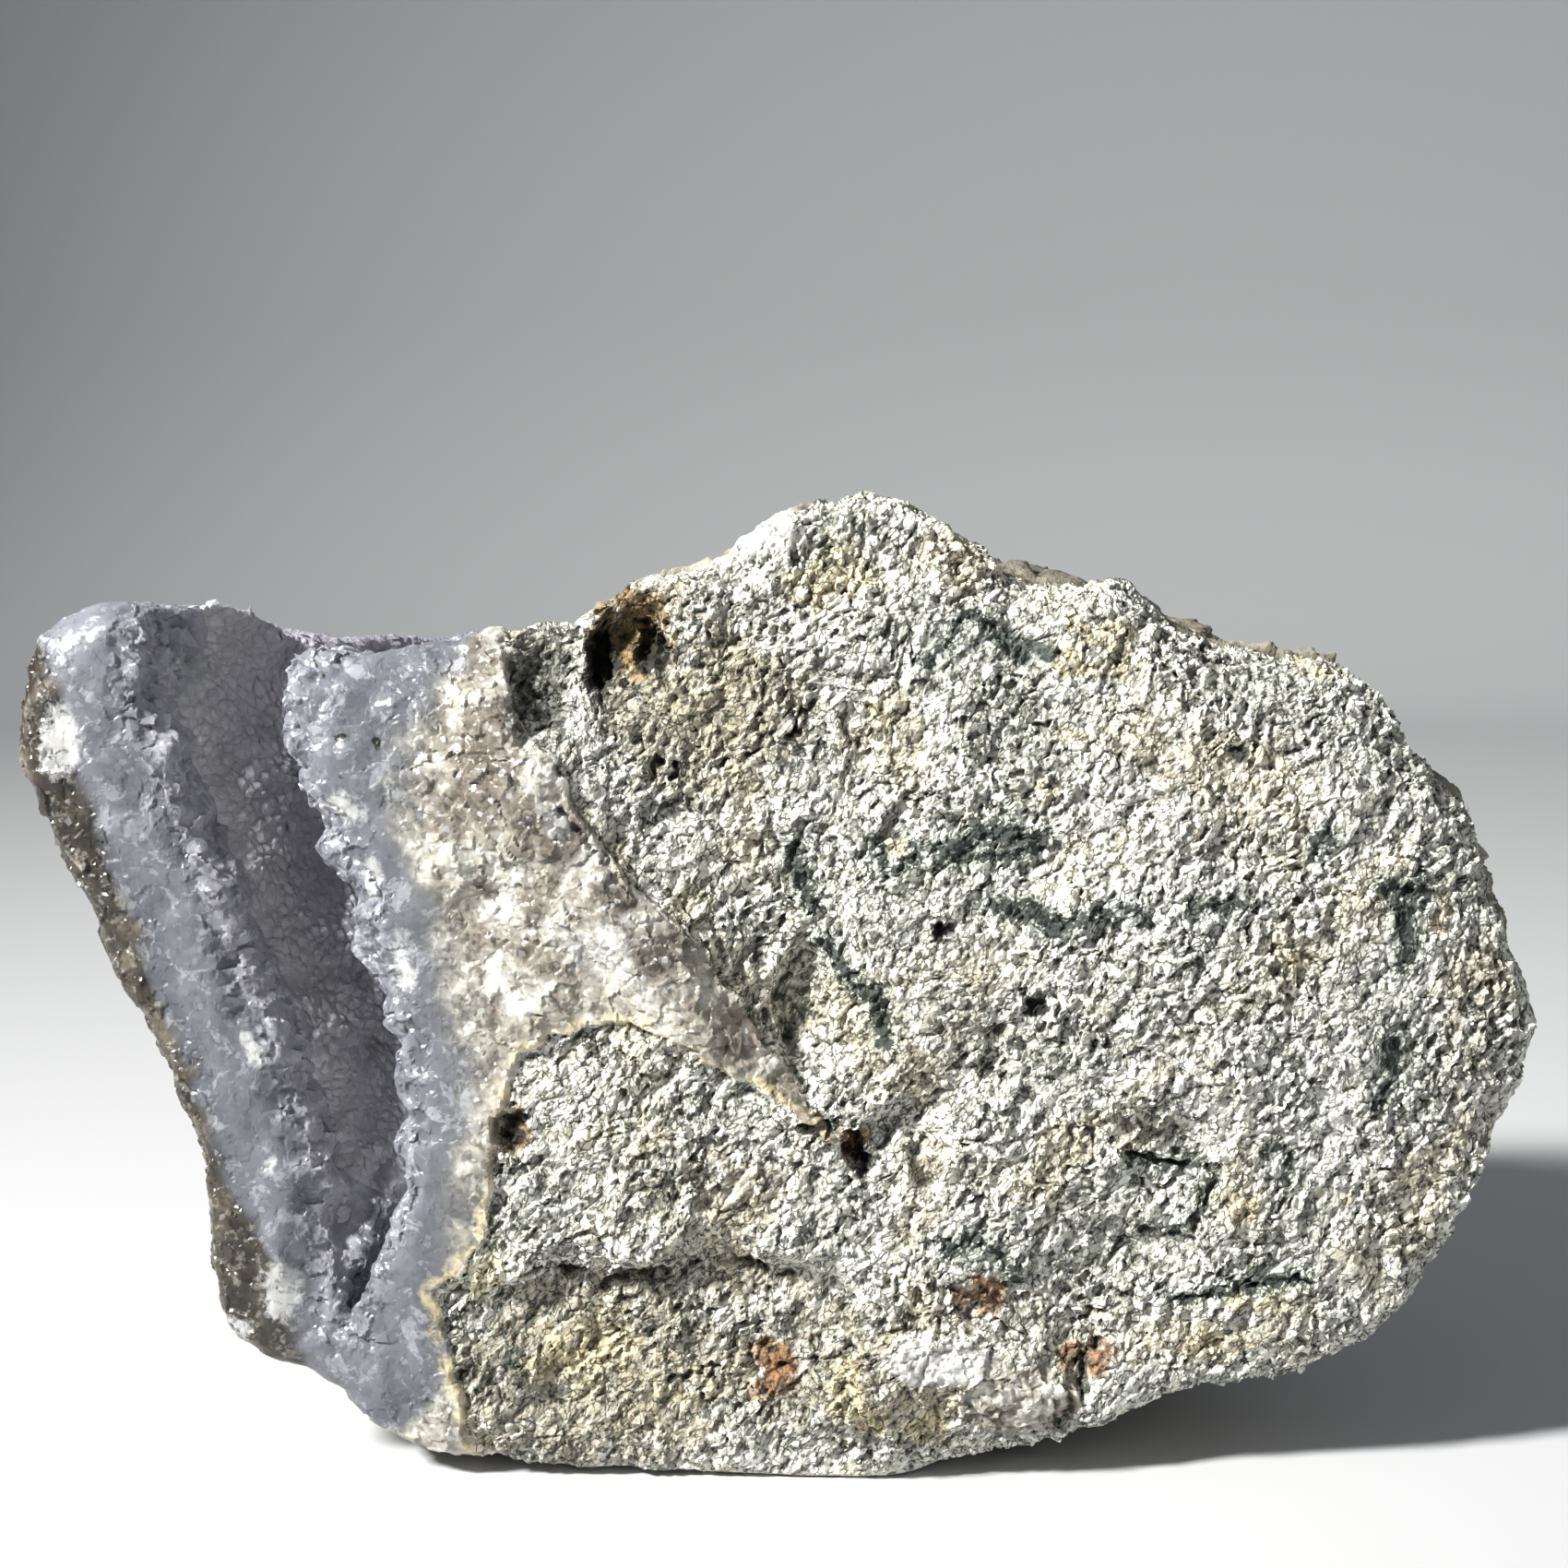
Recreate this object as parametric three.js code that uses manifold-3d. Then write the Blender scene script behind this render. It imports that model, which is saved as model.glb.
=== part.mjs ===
// Blue lace agate specimen: a chunk of pale host rock crossed by an agate vein that opens
// into a cleft on the left, with a druzy crust on the walls of the cleft.
// Millimetres. X runs to the right along the broken face, Y away from the viewer, Z up.
import * as THREE from 'three';
import Module from 'manifold-3d';
import { ImprovedNoise } from 'three/addons/math/ImprovedNoise.js';
import { mergeVertices } from 'three/addons/utils/BufferGeometryUtils.js';

const { clamp, lerp, smoothstep } = THREE.MathUtils;

// Driving dimensions of the whole stone
const HEART = { x: 2, z: 39 }; // middle of the outline, from which every edge is seen
const RIM_DEPTH = -12; // where the outline lies at the height of the heart
const RIM_LEAN = 0.1; // the broken face leans back by this much per millimetre of height
const FACE_RISE = 5; // how far the broken face stands in front of the outline
const FACE_SQUARENESS = 4.2;
const FACE_SPREAD = 1.4; // crowds the face's points towards the outline
const BACK_DEPTH = 41; // how far the weathered back reaches behind the outline
const BACK_SQUARENESS = 2.7;
const UNDERSIDE_SQUARENESS = 4;
const BELLY = 4; // extra fullness under the stone, which the flat base cuts off
const TOP_FALL = 0.26; // the top drops by this much per millimetre towards the back
const SADDLE = { angle: 2.23, half: 0.21, fall: 4.4, depth: 9 }; // the top sags behind the cleft's right lip
const BASE_HEIGHT = 0; // the stone rests on a flat broken base at this height
const BODY_FINENESS = 17;
const OUTLINE_SAMPLES = 720;
const EDGE_BAND = 0.024; // half width of the band of directions that lie on the outline, in radians
const WEATHERING_START = 0.38; // full weathering begins this far behind the outline, in radians
const SMOOTHING_ANGLE = 0.45; // the back forgets corners of the outline narrower than this, in radians

// Outline of the broken face, x and z, clockwise from its left corner
const OUTLINE = [
  [-58.8, 66.2], [-55.7, 68.5], [-52.2, 69.6], [-43.6, 69.7], [-39.8, 68.6], [-35.9, 66.2],
  [-30.1, 66.2], [-25.4, 66.7], [-19.3, 68.7], [-16.3, 69.2], [-11.0, 71.9], [-5.9, 73.2],
  [-2.5, 75.5], [0.4, 77.0], [5.7, 78.4], [8.2, 78.7], [11.6, 77.2], [15.9, 73.7], [18.0, 71.7],
  [25.8, 71.2], [30.0, 68.9], [34.8, 66.5], [42.6, 65.6], [46.5, 63.6], [51.2, 57.4],
  [55.0, 52.0], [58.3, 42.8], [60.6, 38.1], [60.7, 35.5], [58.8, 31.3], [54.1, 19.9],
  [49.0, 12.3], [43.1, 8.9], [30.6, 6.2], [24.9, 3.5], [14.8, 1.2], [8.8, -0.6], [-9.2, 0.2],
  [-20.3, 0.5], [-29.9, 2.8], [-33.0, 4.3], [-37.0, 8.4], [-43.6, 11.1], [-45.6, 16.2],
  [-46.5, 25.3], [-48.1, 30.8], [-52.8, 40.6], [-58.5, 53.4], [-60.3, 59.9],
];

// Ridges and grooves of the broken face: a line of x and z, its half width and its rise
const RIDGES = {
  vein: { line: [[-22, 66], [-19, 56], [-14, 46], [-8, 40], [-1, 33], [5, 28]], half: 3.2, rise: 2.6 },
  rightBank: { line: [[-31, 64], [-29, 50], [-26, 36], [-26, 20]], half: 4.5, rise: 1.2 },
  valleyBelowVein: { line: [[6, 27], [10, 29], [14, 34]], half: 1.8, rise: -2.6 },
  quartzLip: { line: [[5, 7], [13, 10], [22, 7]], half: 3.4, rise: 2.2 },
  crackBesideLip: { line: [[22, 3], [23, 9], [25, 12]], half: 1.3, rise: -2.4 },
  slabBevel: { line: [[-58, 62], [-51, 42], [-46, 24], [-41, 12]], half: 3.5, rise: -1.4 },
};

// Broad swells and scoops of the broken face: a middle, two half widths and a rise
const SWELLS = {
  scoopBesideVein: { at: [-0.5, 40], half: [6.5, 11], rise: -4.2 },
  shadedFlank: { at: [-9, 57], half: [7, 9], rise: -1.6 },
  rightDome: { at: [30, 42], half: [20, 20], rise: 2.2 },
  lowerLobe: { at: [-11, 26], half: [10, 8], rise: 1.8 },
  smokyPocket: { at: [-12.3, 68.5], half: [2.8, 3.6], rise: -5 },
  darkSocket: { at: [-19.6, 64], half: [2.4, 4.6], rise: -2.4 },
  peakLeaningBack: { at: [7, 78], half: [9, 5], rise: -3 },
  notchBesidePeak: { at: [18.6, 71], half: [3, 3], rise: -1.5 },
  whiteChip: { at: [30, 24], half: [3, 3], rise: 1 },
};

// Broken ledges: the ground to the left of the line, as one walks along it, steps back
const LEDGES = {
  rightLedge: { line: [[22, 10], [26, 15], [31, 20], [34, 26]], fade: 8, rise: -2.6 },
  lowerLedge: { line: [[4, 17], [-7, 20], [-12, 18.5], [-19, 17]], fade: 12, rise: -2.2 },
};
const LEDGE_EDGE = 0.9; // half width of the slope at the foot of a ledge
const LEDGE_END = 3; // a ledge dies away this far past the ends of its line
const RELIEF_EDGE = 0.86; // past this share of the way out, the relief dies away to the outline

// Flat breaks on the weathered back: an outward direction and how far the stone reaches along it
const BREAK_FLATNESS = 0.8;
const BREAKS = [
  { facing: [0.25, 0.9, 0.35], reach: 38 },
  { facing: [-0.55, 0.75, 0.3], reach: 51 },
  { facing: [0.8, 0.55, -0.1], reach: 48 },
  { facing: [0.55, 0.6, 0.6], reach: 59 },
  { facing: [-0.6, 0.6, -0.5], reach: 40 },
];

// The cleft: height, left lip and right lip on the broken face
const LIPS = [
  { z: 96, left: -54.0, right: -35.0 },
  { z: 66, left: -50.8, right: -38.2 },
  { z: 60, left: -49.6, right: -39.0 },
  { z: 55, left: -48.2, right: -37.4 },
  { z: 48, left: -45.2, right: -33.8 },
  { z: 40, left: -42.0, right: -31.8 },
  { z: 32, left: -39.6, right: -30.0 },
  { z: 25, left: -37.6, right: -29.7 },
  { z: 19, left: -36.8, right: -32.0 },
  { z: 12, left: -36.6, right: -34.2 },
];
const LIP_RISE = 4; // the lips stand this far in front of the outline
const CLEFT_DRIFT = 0.65; // the cleft runs to the right by this much per millimetre of depth
const CLEFT_UNDERCUT = 3; // it widens behind its right lip
const UNDERCUT_DEPTH = 6;
const CLEFT_FLOOR = 12;
const CLEFT_TOP = 94;
const CLEFT_BACK = 13;
const CLEFT_FRONT = -36;
const CLEFT_SQUARENESS = 3;
const CLEFT_FINENESS = { across: 3, deep: 11, high: 25 };

// The druzy crust on the walls of the cleft
const CRUST_GAP = 0.35; // seam between the crust and the stone
const CRUST_THICKNESS = 1.5;
const NARROWEST = 0.12; // half width of what is left open where the cleft pinches out
const LUMP_ROOM = 2; // the cleft's lumps are full where it is at least this wide to each side

// Lumps of each surface: how tall and how far apart they are, and where their pattern starts
const FACE_LUMPS = { tall: 1.1, apart: 5.5, start: 3 };
const BACK_LUMPS = { tall: 2.6, apart: 15, start: 7 };
const CLEFT_LUMPS = { tall: 0.35, apart: 6, start: 11 };
const CRUST_LUMPS = { tall: 0.45, apart: 3.1, start: 19 };

const STONE_LOOK = { color: '#b6b6ac', roughness: 0.92, metalness: 0 };
const CRUST_LOOK = { color: '#a7a9c6', roughness: 0.35, metalness: 0 };

const noise = new ImprovedNoise();
const wasm = await Module();
wasm.setup();

// The height of a surface's lumps at a point: broad ones, with finer ones of half their height
function lumpHeight(point, { tall, apart, start }) {
  const broad = point.clone().divideScalar(apart).addScalar(start);
  const fine = point.clone().divideScalar(apart / 2.1).addScalar(start);
  return tall * (noise.noise(broad.x, broad.y, broad.z) + 0.5 * noise.noise(fine.x, fine.y, fine.z));
}

// The outline as a list of angles and radii about the heart, in order of angle
function polarOutline() {
  const corners = OUTLINE.map(([x, z]) => new THREE.Vector3(x - HEART.x, 0, z - HEART.z));
  const curve = new THREE.CatmullRomCurve3(corners, true);
  const rays = curve.getPoints(OUTLINE_SAMPLES).map((p) => ({
    angle: Math.atan2(p.z, p.x),
    radius: Math.hypot(p.x, p.z),
  }));
  return rays.sort((a, b) => a.angle - b.angle);
}

const RAYS = polarOutline();

// How far the outline lies from the heart in one direction
function outlineRadius(angle) {
  const turn = Math.atan2(Math.sin(angle), Math.cos(angle));
  const next = RAYS.findIndex((ray) => ray.angle > turn);
  if (next <= 0) {
    return RAYS[0].radius;
  }
  const [before, after] = [RAYS[next - 1], RAYS[next]];
  return lerp(before.radius, after.radius, (turn - before.angle) / (after.angle - before.angle));
}

// The outline's distance with its corners averaged away, for the weathered back
function smoothRadius(angle) {
  const steps = [-1, -0.6, -0.2, 0.2, 0.6, 1];
  const total = steps.reduce((sum, step) => sum + outlineRadius(angle + step * SMOOTHING_ANGLE), 0);
  return total / steps.length;
}

function rimDepth(z) {
  return RIM_DEPTH + RIM_LEAN * (z - HEART.z);
}

// The point of a line of x and z that is nearest to a place: its distance, its side and how
// far the place lies past the line's ends
function nearLine(line, x, z) {
  let nearest = { distance: Infinity, side: 1, beyond: 0 };
  for (let i = 0; i + 1 < line.length; i += 1) {
    const [ax, az] = line[i];
    const [dx, dz] = [line[i + 1][0] - ax, line[i + 1][1] - az];
    const length = Math.hypot(dx, dz);
    const along = ((x - ax) * dx + (z - az) * dz) / length;
    const held = clamp(along, 0, length);
    const distance = Math.hypot(x - ax - held * dx / length, z - az - held * dz / length);
    if (distance < nearest.distance) {
      const side = Math.sign(dx * (z - az) - dz * (x - ax));
      nearest = { distance, side, beyond: Math.abs(along - held) };
    }
  }
  return nearest;
}

function ridgeHeight({ line, half, rise }, x, z) {
  return rise * Math.exp(-((nearLine(line, x, z).distance / half) ** 2));
}

function swellHeight({ at, half, rise }, x, z) {
  const [u, w] = [(x - at[0]) / half[0], (z - at[1]) / half[1]];
  return rise * Math.exp(-(u * u + w * w));
}

function ledgeHeight({ line, fade, rise }, x, z) {
  const { distance, side, beyond } = nearLine(line, x, z);
  const step = smoothstep(side * distance, -LEDGE_EDGE, LEDGE_EDGE);
  return rise * step * Math.exp(-distance / fade) * Math.exp(-((beyond / LEDGE_END) ** 2));
}

// How far the broken face stands forward of its plain form at a place
function faceRelief(x, z) {
  const ridges = Object.values(RIDGES).map((ridge) => ridgeHeight(ridge, x, z));
  const swells = Object.values(SWELLS).map((swell) => swellHeight(swell, x, z));
  const ledges = Object.values(LEDGES).map((ledge) => ledgeHeight(ledge, x, z));
  return [...ridges, ...swells, ...ledges].reduce((sum, height) => sum + height, 0);
}

// A place on the broken face, from its direction about the heart and its turn from the middle
// of the face (0) to the outline (1)
function facePoint(angle, turn) {
  const share = 1 - (1 - turn) ** FACE_SPREAD;
  const radius = outlineRadius(angle) * share;
  const x = HEART.x + radius * Math.cos(angle);
  const z = HEART.z + radius * Math.sin(angle);
  const rise = FACE_RISE * (1 - share ** FACE_SQUARENESS) ** (1 / FACE_SQUARENESS);
  const fade = 1 - smoothstep(share, RELIEF_EDGE, 1);
  const point = new THREE.Vector3(x, 0, z);
  point.y = rimDepth(z) - rise - fade * (faceRelief(x, z) + lumpHeight(point, FACE_LUMPS));
  return point;
}

// How far the weathered top sags at a direction about the heart and a depth behind the outline
function sag(angle, deep) {
  const aside = (angle - SADDLE.angle) / SADDLE.half;
  return SADDLE.fall * Math.exp(-aside * aside) * smoothstep(deep, 0, SADDLE.depth);
}

// A place on the weathered back, from its direction and its turn from the outline to the rear
function backPoint(angle, turn) {
  const down = Math.max(0, -Math.sin(angle)) ** 2;
  const up = Math.max(0, Math.sin(angle));
  const power = 2 / lerp(BACK_SQUARENESS, UNDERSIDE_SQUARENESS, down);
  const inward = Math.cos(turn) ** power;
  const deep = BACK_DEPTH * Math.sin(turn) ** power;
  const settled = smoothstep(deep, 0, BACK_DEPTH / 2);
  const belly = BELLY * down * settled;
  const radius = lerp(outlineRadius(angle), smoothRadius(angle), settled) * inward + belly * inward;
  const fall = up * TOP_FALL * deep + sag(angle, deep);
  const z = HEART.z + radius * Math.sin(angle) - fall * inward;
  return new THREE.Vector3(HEART.x + radius * Math.cos(angle), rimDepth(z) + deep, z);
}

// Weathers the back: lumps along the outward direction, then flat breaks
function weather(point, outward, deepness) {
  point.addScaledVector(outward, deepness * lumpHeight(point, BACK_LUMPS));
  for (const { facing, reach } of BREAKS) {
    const normal = new THREE.Vector3(...facing).normalize();
    const over = point.x * normal.x + point.y * normal.y + (point.z - HEART.z) * normal.z - reach;
    if (over > 0) {
      point.addScaledVector(normal, -BREAK_FLATNESS * over);
    }
  }
}

// Moves one direction of the unit ball to its place on the stone's surface. Directions close to
// the outline are put on it, so that the broken edge stays sharp.
function stonePoint(direction) {
  const angle = Math.atan2(direction.z, direction.x);
  const past = Math.acos(clamp(-direction.y, -1, 1)) - Math.PI / 2;
  const turn = Math.abs(past) < EDGE_BAND ? 0 : past;
  const point = turn <= 0 ? facePoint(angle, 1 + turn / (Math.PI / 2)) : backPoint(angle, turn);
  if (turn > 0) {
    weather(point, direction, smoothstep(turn, 0, WEATHERING_START));
  }
  point.z = Math.max(point.z, BASE_HEIGHT);
  return point;
}

// Keeps only the merged positions of a geometry and moves each of them
function reshaped(geometry, place) {
  geometry.deleteAttribute('normal');
  geometry.deleteAttribute('uv');
  const shape = mergeVertices(geometry, 1e-5);
  const position = shape.getAttribute('position');
  for (let i = 0; i < position.count; i += 1) {
    const moved = place(new THREE.Vector3().fromBufferAttribute(position, i));
    position.setXYZ(i, moved.x, moved.y, moved.z);
  }
  return shape;
}

function toSolid(geometry) {
  return new wasm.Manifold(new wasm.Mesh({
    numProp: 3,
    vertProperties: new Float32Array(geometry.getAttribute('position').array),
    triVerts: new Uint32Array(geometry.getIndex().array),
  }));
}

function toGeometry(solid) {
  const { vertProperties, triVerts } = solid.getMesh();
  const geometry = new THREE.BufferGeometry();
  geometry.setAttribute('position', new THREE.BufferAttribute(vertProperties, 3));
  geometry.setIndex(new THREE.BufferAttribute(triVerts, 1));
  geometry.computeVertexNormals();
  return geometry;
}

// The largest of the pieces that a cut leaves
function largest(solid) {
  return solid.decompose().sort((a, b) => b.volume() - a.volume())[0];
}

// Where the cleft's two lips lie at one height
function lipsAt(z) {
  const below = LIPS.findIndex((lip) => lip.z <= z);
  const [upper, lower] = below > 0 ? [LIPS[below - 1], LIPS[below]] : [LIPS.at(-1), LIPS.at(-1)];
  const share = upper.z > lower.z ? (z - lower.z) / (upper.z - lower.z) : 0;
  return { left: lerp(lower.left, upper.left, share), right: lerp(lower.right, upper.right, share) };
}

// Moves one point of a box of half size 1 to its place on the wall of the cleft, drawn in by
// the inset and made rough by one or more kinds of lumps, which fade where the cleft is narrow
function cleftPoint(corner, inset, lumps) {
  const [a, b, c] = corner.toArray().map(Math.abs);
  const power = CLEFT_SQUARENESS;
  const pull = Math.max(a, b, c) / (a ** power + b ** power + c ** power) ** (1 / power);
  const round = corner.clone().multiplyScalar(pull);
  const y = lerp(CLEFT_FRONT + inset, CLEFT_BACK - inset, (round.y + 1) / 2);
  const z = lerp(CLEFT_FLOOR + inset, CLEFT_TOP - inset, (round.z + 1) / 2);
  const { left, right } = lipsAt(z);
  const behind = Math.max(0, y - (rimDepth(z) - LIP_RISE));
  const undercut = CLEFT_UNDERCUT * smoothstep(behind, 0, UNDERCUT_DEPTH);
  const half = Math.max((right + undercut - left) / 2 - inset, NARROWEST);
  const x = (left + right + undercut) / 2 + CLEFT_DRIFT * behind + half * round.x;
  const wall = new THREE.Vector3(x, y, z);
  const rough = lumps.reduce((sum, kind) => sum + lumpHeight(wall, kind), 0);
  wall.x += clamp(2 * round.x, -1, 1) * Math.min(half, LUMP_ROOM) * rough;
  return wall;
}

function cleftSolid(inset, lumps) {
  const { across, deep, high } = CLEFT_FINENESS;
  const box = new THREE.BoxGeometry(2, 2, 2, across, deep, high);
  return toSolid(reshaped(box, (corner) => cleftPoint(corner, inset, lumps)));
}

function wholeStone() {
  return toSolid(reshaped(new THREE.IcosahedronGeometry(1, BODY_FINENESS), stonePoint));
}

function named(name, solid, look) {
  const mesh = new THREE.Mesh(toGeometry(solid), new THREE.MeshStandardMaterial(look));
  mesh.name = name;
  return mesh;
}

// The host rock with its vein, slab and bank: one solid, open where the cleft is
function stone(whole) {
  return named('stone', largest(whole.subtract(cleftSolid(0, [CLEFT_LUMPS]))), STONE_LOOK);
}

// The crust of small crystals that lines the cleft
function druzyCrust(whole) {
  const outer = cleftSolid(CRUST_GAP, [CLEFT_LUMPS]);
  const inner = cleftSolid(CRUST_GAP + CRUST_THICKNESS, [CLEFT_LUMPS, CRUST_LUMPS]);
  return named('druzy_crust', largest(whole.intersect(outer).subtract(inner)), CRUST_LOOK);
}

const specimen = new THREE.Group();
const whole = wholeStone();
specimen.add(stone(whole), druzyCrust(whole));

// The origin is at the middle of the base
const extent = new THREE.Box3().setFromObject(specimen);
const middle = extent.getCenter(new THREE.Vector3());
specimen.position.set(-middle.x, -middle.y, -extent.min.z);

export default specimen;
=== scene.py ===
"""Looks of a blue lace agate specimen: pale host rock, an agate vein and a cleft lined with druse.

Sizes are in millimetres and turn into metres at the mesh. A place on the broken face is given as
x and z, as it is seen along +Y.
"""

import logging
import math
from collections.abc import Callable
from dataclasses import dataclass
from enum import Enum
from functools import cached_property
from itertools import chain, product

import bmesh
import bpy
import numpy as np
from mathutils import Euler, Matrix, Vector, noise
from mathutils.bvhtree import BVHTree


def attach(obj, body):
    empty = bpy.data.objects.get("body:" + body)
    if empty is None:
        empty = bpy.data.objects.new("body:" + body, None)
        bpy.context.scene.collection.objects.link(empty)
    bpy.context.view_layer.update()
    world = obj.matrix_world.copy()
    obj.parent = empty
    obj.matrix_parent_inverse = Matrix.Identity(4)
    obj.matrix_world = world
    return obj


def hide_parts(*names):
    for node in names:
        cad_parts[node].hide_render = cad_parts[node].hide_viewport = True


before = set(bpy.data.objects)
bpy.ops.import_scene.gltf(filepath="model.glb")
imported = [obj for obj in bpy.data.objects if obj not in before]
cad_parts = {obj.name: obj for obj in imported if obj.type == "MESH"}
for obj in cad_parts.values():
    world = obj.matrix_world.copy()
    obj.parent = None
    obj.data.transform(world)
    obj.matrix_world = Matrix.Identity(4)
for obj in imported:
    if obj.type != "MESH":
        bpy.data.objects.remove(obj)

Rows = np.ndarray  # places in millimetres, one row of x, y and z each
Values = np.ndarray  # one number for each place
Mesh = bpy.types.Mesh
Piece = bpy.types.Object
Node = bpy.types.Node
Socket = bpy.types.NodeSocket
Feed = float | str | Node | Socket  # what may go into a node's socket, a string as a hex colour

LOG = logging.getLogger("agate")
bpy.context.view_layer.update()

MM = 0.001
RIM_DEPTH = -16.35  # y of the broken face's outline at RIM_HEIGHT
RIM_HEIGHT = 39.0
RIM_LEAN = 0.1  # the face leans back by this much per millimetre of height
GRAIN_ANGLE = 56.0  # lean of the host rock's grains above +X in degrees
GRAIN_STRETCH = 1.6  # how much longer than wide they are
NOISE_SEED = 5  # the vector noise takes its start from the clock unless it is told one
# Waves that give each chip a lean and a height of its own
SCATTER = np.array(((12.99, 78.23, 37.72), (39.35, 11.14, 83.15), (73.16, 52.24, 9.15)))
SCATTER_GAIN = 437.585


class Ground(Enum):
    """What a patch of the stone's surface is made of, as its material slot."""

    HOST = 0
    AGATE = 1
    CORTEX = 2


class Tint(Enum):
    """A colour laid on the stone, as the name of its mesh attribute; most are real stains, some painted
    shade.
    """

    TAN = "tan"
    RUST = "rust"
    CELADON = "celadon"
    WHITE = "white"
    SMOKE = "smoke"
    # Painted shade in the hollows, on the scoop beside the vein and under ledges
    DARK = "dark"
    AMBER = "amber"
    # Partly a brown wash, partly painted shade where the face turns away from the light
    UMBER = "umber"
    # Painted shade deep in the holes, with some real dark specks on the bank
    SOOT = "soot"
    QUARTZ = "quartz"


def smoothstep(low: float, high: float, value: Values) -> Values:
    """Rises from 0 where the value is low to 1 where it is high, with no corners."""
    share = np.clip((value - low) / (high - low), 0, 1)
    return share * share * (3 - 2 * share)


@dataclass(frozen=True)
class Patch:
    """A tinted or hollow place on the broken face, an ellipse whose edge wanders; most tints are real stains,
    some painted shade.

    Attributes:
        x: Middle, to the right.
        z: Middle, upwards.
        wide: Half width.
        high: Half height.
        strength: How full its tint is in its middle, or how deep the hollow is in millimetres.
    """

    x: float
    z: float
    wide: float
    high: float
    strength: float = 1.0

    def filled(self, spots: Rows, inner: float, outer: float) -> Values:
        """How full the patch is at each spot.

        Args:
            spots: The places.
            inner: Share of the patch's size up to which it is full.
            outer: Share of its size at which it ends.

        Returns:
            Its strength in the middle and 0 outside.
        """
        reach = np.hypot((spots[:, 0] - self.x) / self.wide, (spots[:, 2] - self.z) / self.high)
        return self.strength * (1 - smoothstep(inner, outer, reach))


@dataclass(frozen=True)
class Trace:
    """A line on the broken face.

    Attributes:
        points: Its corners, as x and z.
        beyond: More corners, which make an outline of it where it parts one ground from another.
    """

    points: tuple[tuple[float, float], ...]
    beyond: tuple[tuple[float, float], ...] = ()

    def distance(self, spots: Rows) -> Values:
        """How far each spot lies from the line in millimetres, as seen along +Y.

        Args:
            spots: The places.

        Returns:
            One distance for each.
        """
        flat = spots[:, [0, 2]]
        nearest = np.full(len(flat), np.inf)
        for start, end in zip(self.points, self.points[1:]):
            step = np.subtract(end, start)
            along = np.clip((flat - start) @ step / (step @ step), 0, 1)
            gap = flat - start - np.outer(along, step)
            nearest = np.minimum(nearest, np.hypot(gap[:, 0], gap[:, 1]))
        return nearest

    def side(self, spots: Rows) -> Values:
        """Which side of the line each spot is on.

        Args:
            spots: The places.

        Returns:
            1 for each spot inside the outline and -1 for each outside.
        """
        x, z = spots[:, 0], spots[:, 2]
        inside = np.zeros(len(spots), bool)
        corners = self.points + self.beyond
        for (ax, az), (bx, bz) in zip(corners, corners[1:] + corners[:1]):
            if az != bz:
                crosses = (az > z) != (bz > z)
                inside ^= crosses & (x < ax + (z - az) * (bx - ax) / (bz - az))
        return np.where(inside, 1.0, -1.0)


def patches(*rows: tuple[float, ...]) -> tuple[Patch, ...]:
    """Turns rows of x, z, half width, half height and strength into patches."""
    return tuple(Patch(*row) for row in rows)


# Where the agate ends and the host rock begins, from the top of the stone round the tip of the vein
CONTACT = Trace((
    (-22, 70), (-21.9, 67.2), (-21.5, 64), (-20.5, 60.8), (-18, 58.6), (-16.6, 56.1),
    (-15.2, 52.8), (-12.3, 49.2), (-9.4, 46.3), (-6.2, 43.4), (-4.7, 40.1), (-2.2, 36.8),
    (-0.4, 34.3), (2.2, 31), (5.8, 27.3), (3.6, 28.4), (0, 31.3), (-4.4, 33.9), (-9.4, 36.5),
    (-11.6, 37.7), (-15.2, 37.7), (-18.2, 36.5), (-20.9, 35.4), (-21.5, 32.5), (-22.6, 28),
    (-23, 23.6), (-24.1, 19.9), (-26.4, 17.3), (-27.8, 16.2), (-27, 12), (-26, 8),
    (-24.5, 1),
), beyond=((-24.5, -40), (-120, -40), (-120, 120), (-22, 120)))
LOWER_CONTACT = Trace(CONTACT.points[14:])
# Where the slab's blue chalcedony meets its smoky rind
RIND = Trace((
    (-58.5, 67), (-56.8, 63.9), (-55.8, 57.3), (-54.1, 53.7), (-52.4, 47.8), (-50.7, 42.7),
    (-48.9, 37.5), (-46.8, 33), (-45.4, 27.8), (-44, 24.1), (-41.8, 20.3), (-40.1, 16.6),
    (-38.5, 10),
), beyond=((-38.5, -20), (-90, -20), (-90, 67)))
# The cleft's lips, as rising heights and the x that goes with each
LEFT_LIP = (
    (13.6, 17.3, 20.3, 24.1, 27.8, 31.6, 35.3, 39, 43.4, 47.8, 50.8, 55.1, 60.2, 64.6, 70),
    (-35.7, -36, -37, -37.3, -38.8, -39.4, -40.5, -41.5, -43.3, -45.1, -46.5, -48.2, -49.9, -50.2, -50),
)
RIGHT_LIP = (
    (13.4, 15.8, 19.1, 22, 25.1, 30.2, 35.9, 38.7, 41.7, 46.2, 48.8, 53.2, 56, 59, 61.8, 63.7, 65.5),
    (-34.9, -34.7, -33.3, -31.2, -29.6, -29.9, -30.3, -30.9, -32.8, -33.3, -34, -36, -38.1, -38.8, -39.3,
     -38.9, -36.8),
)

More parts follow.
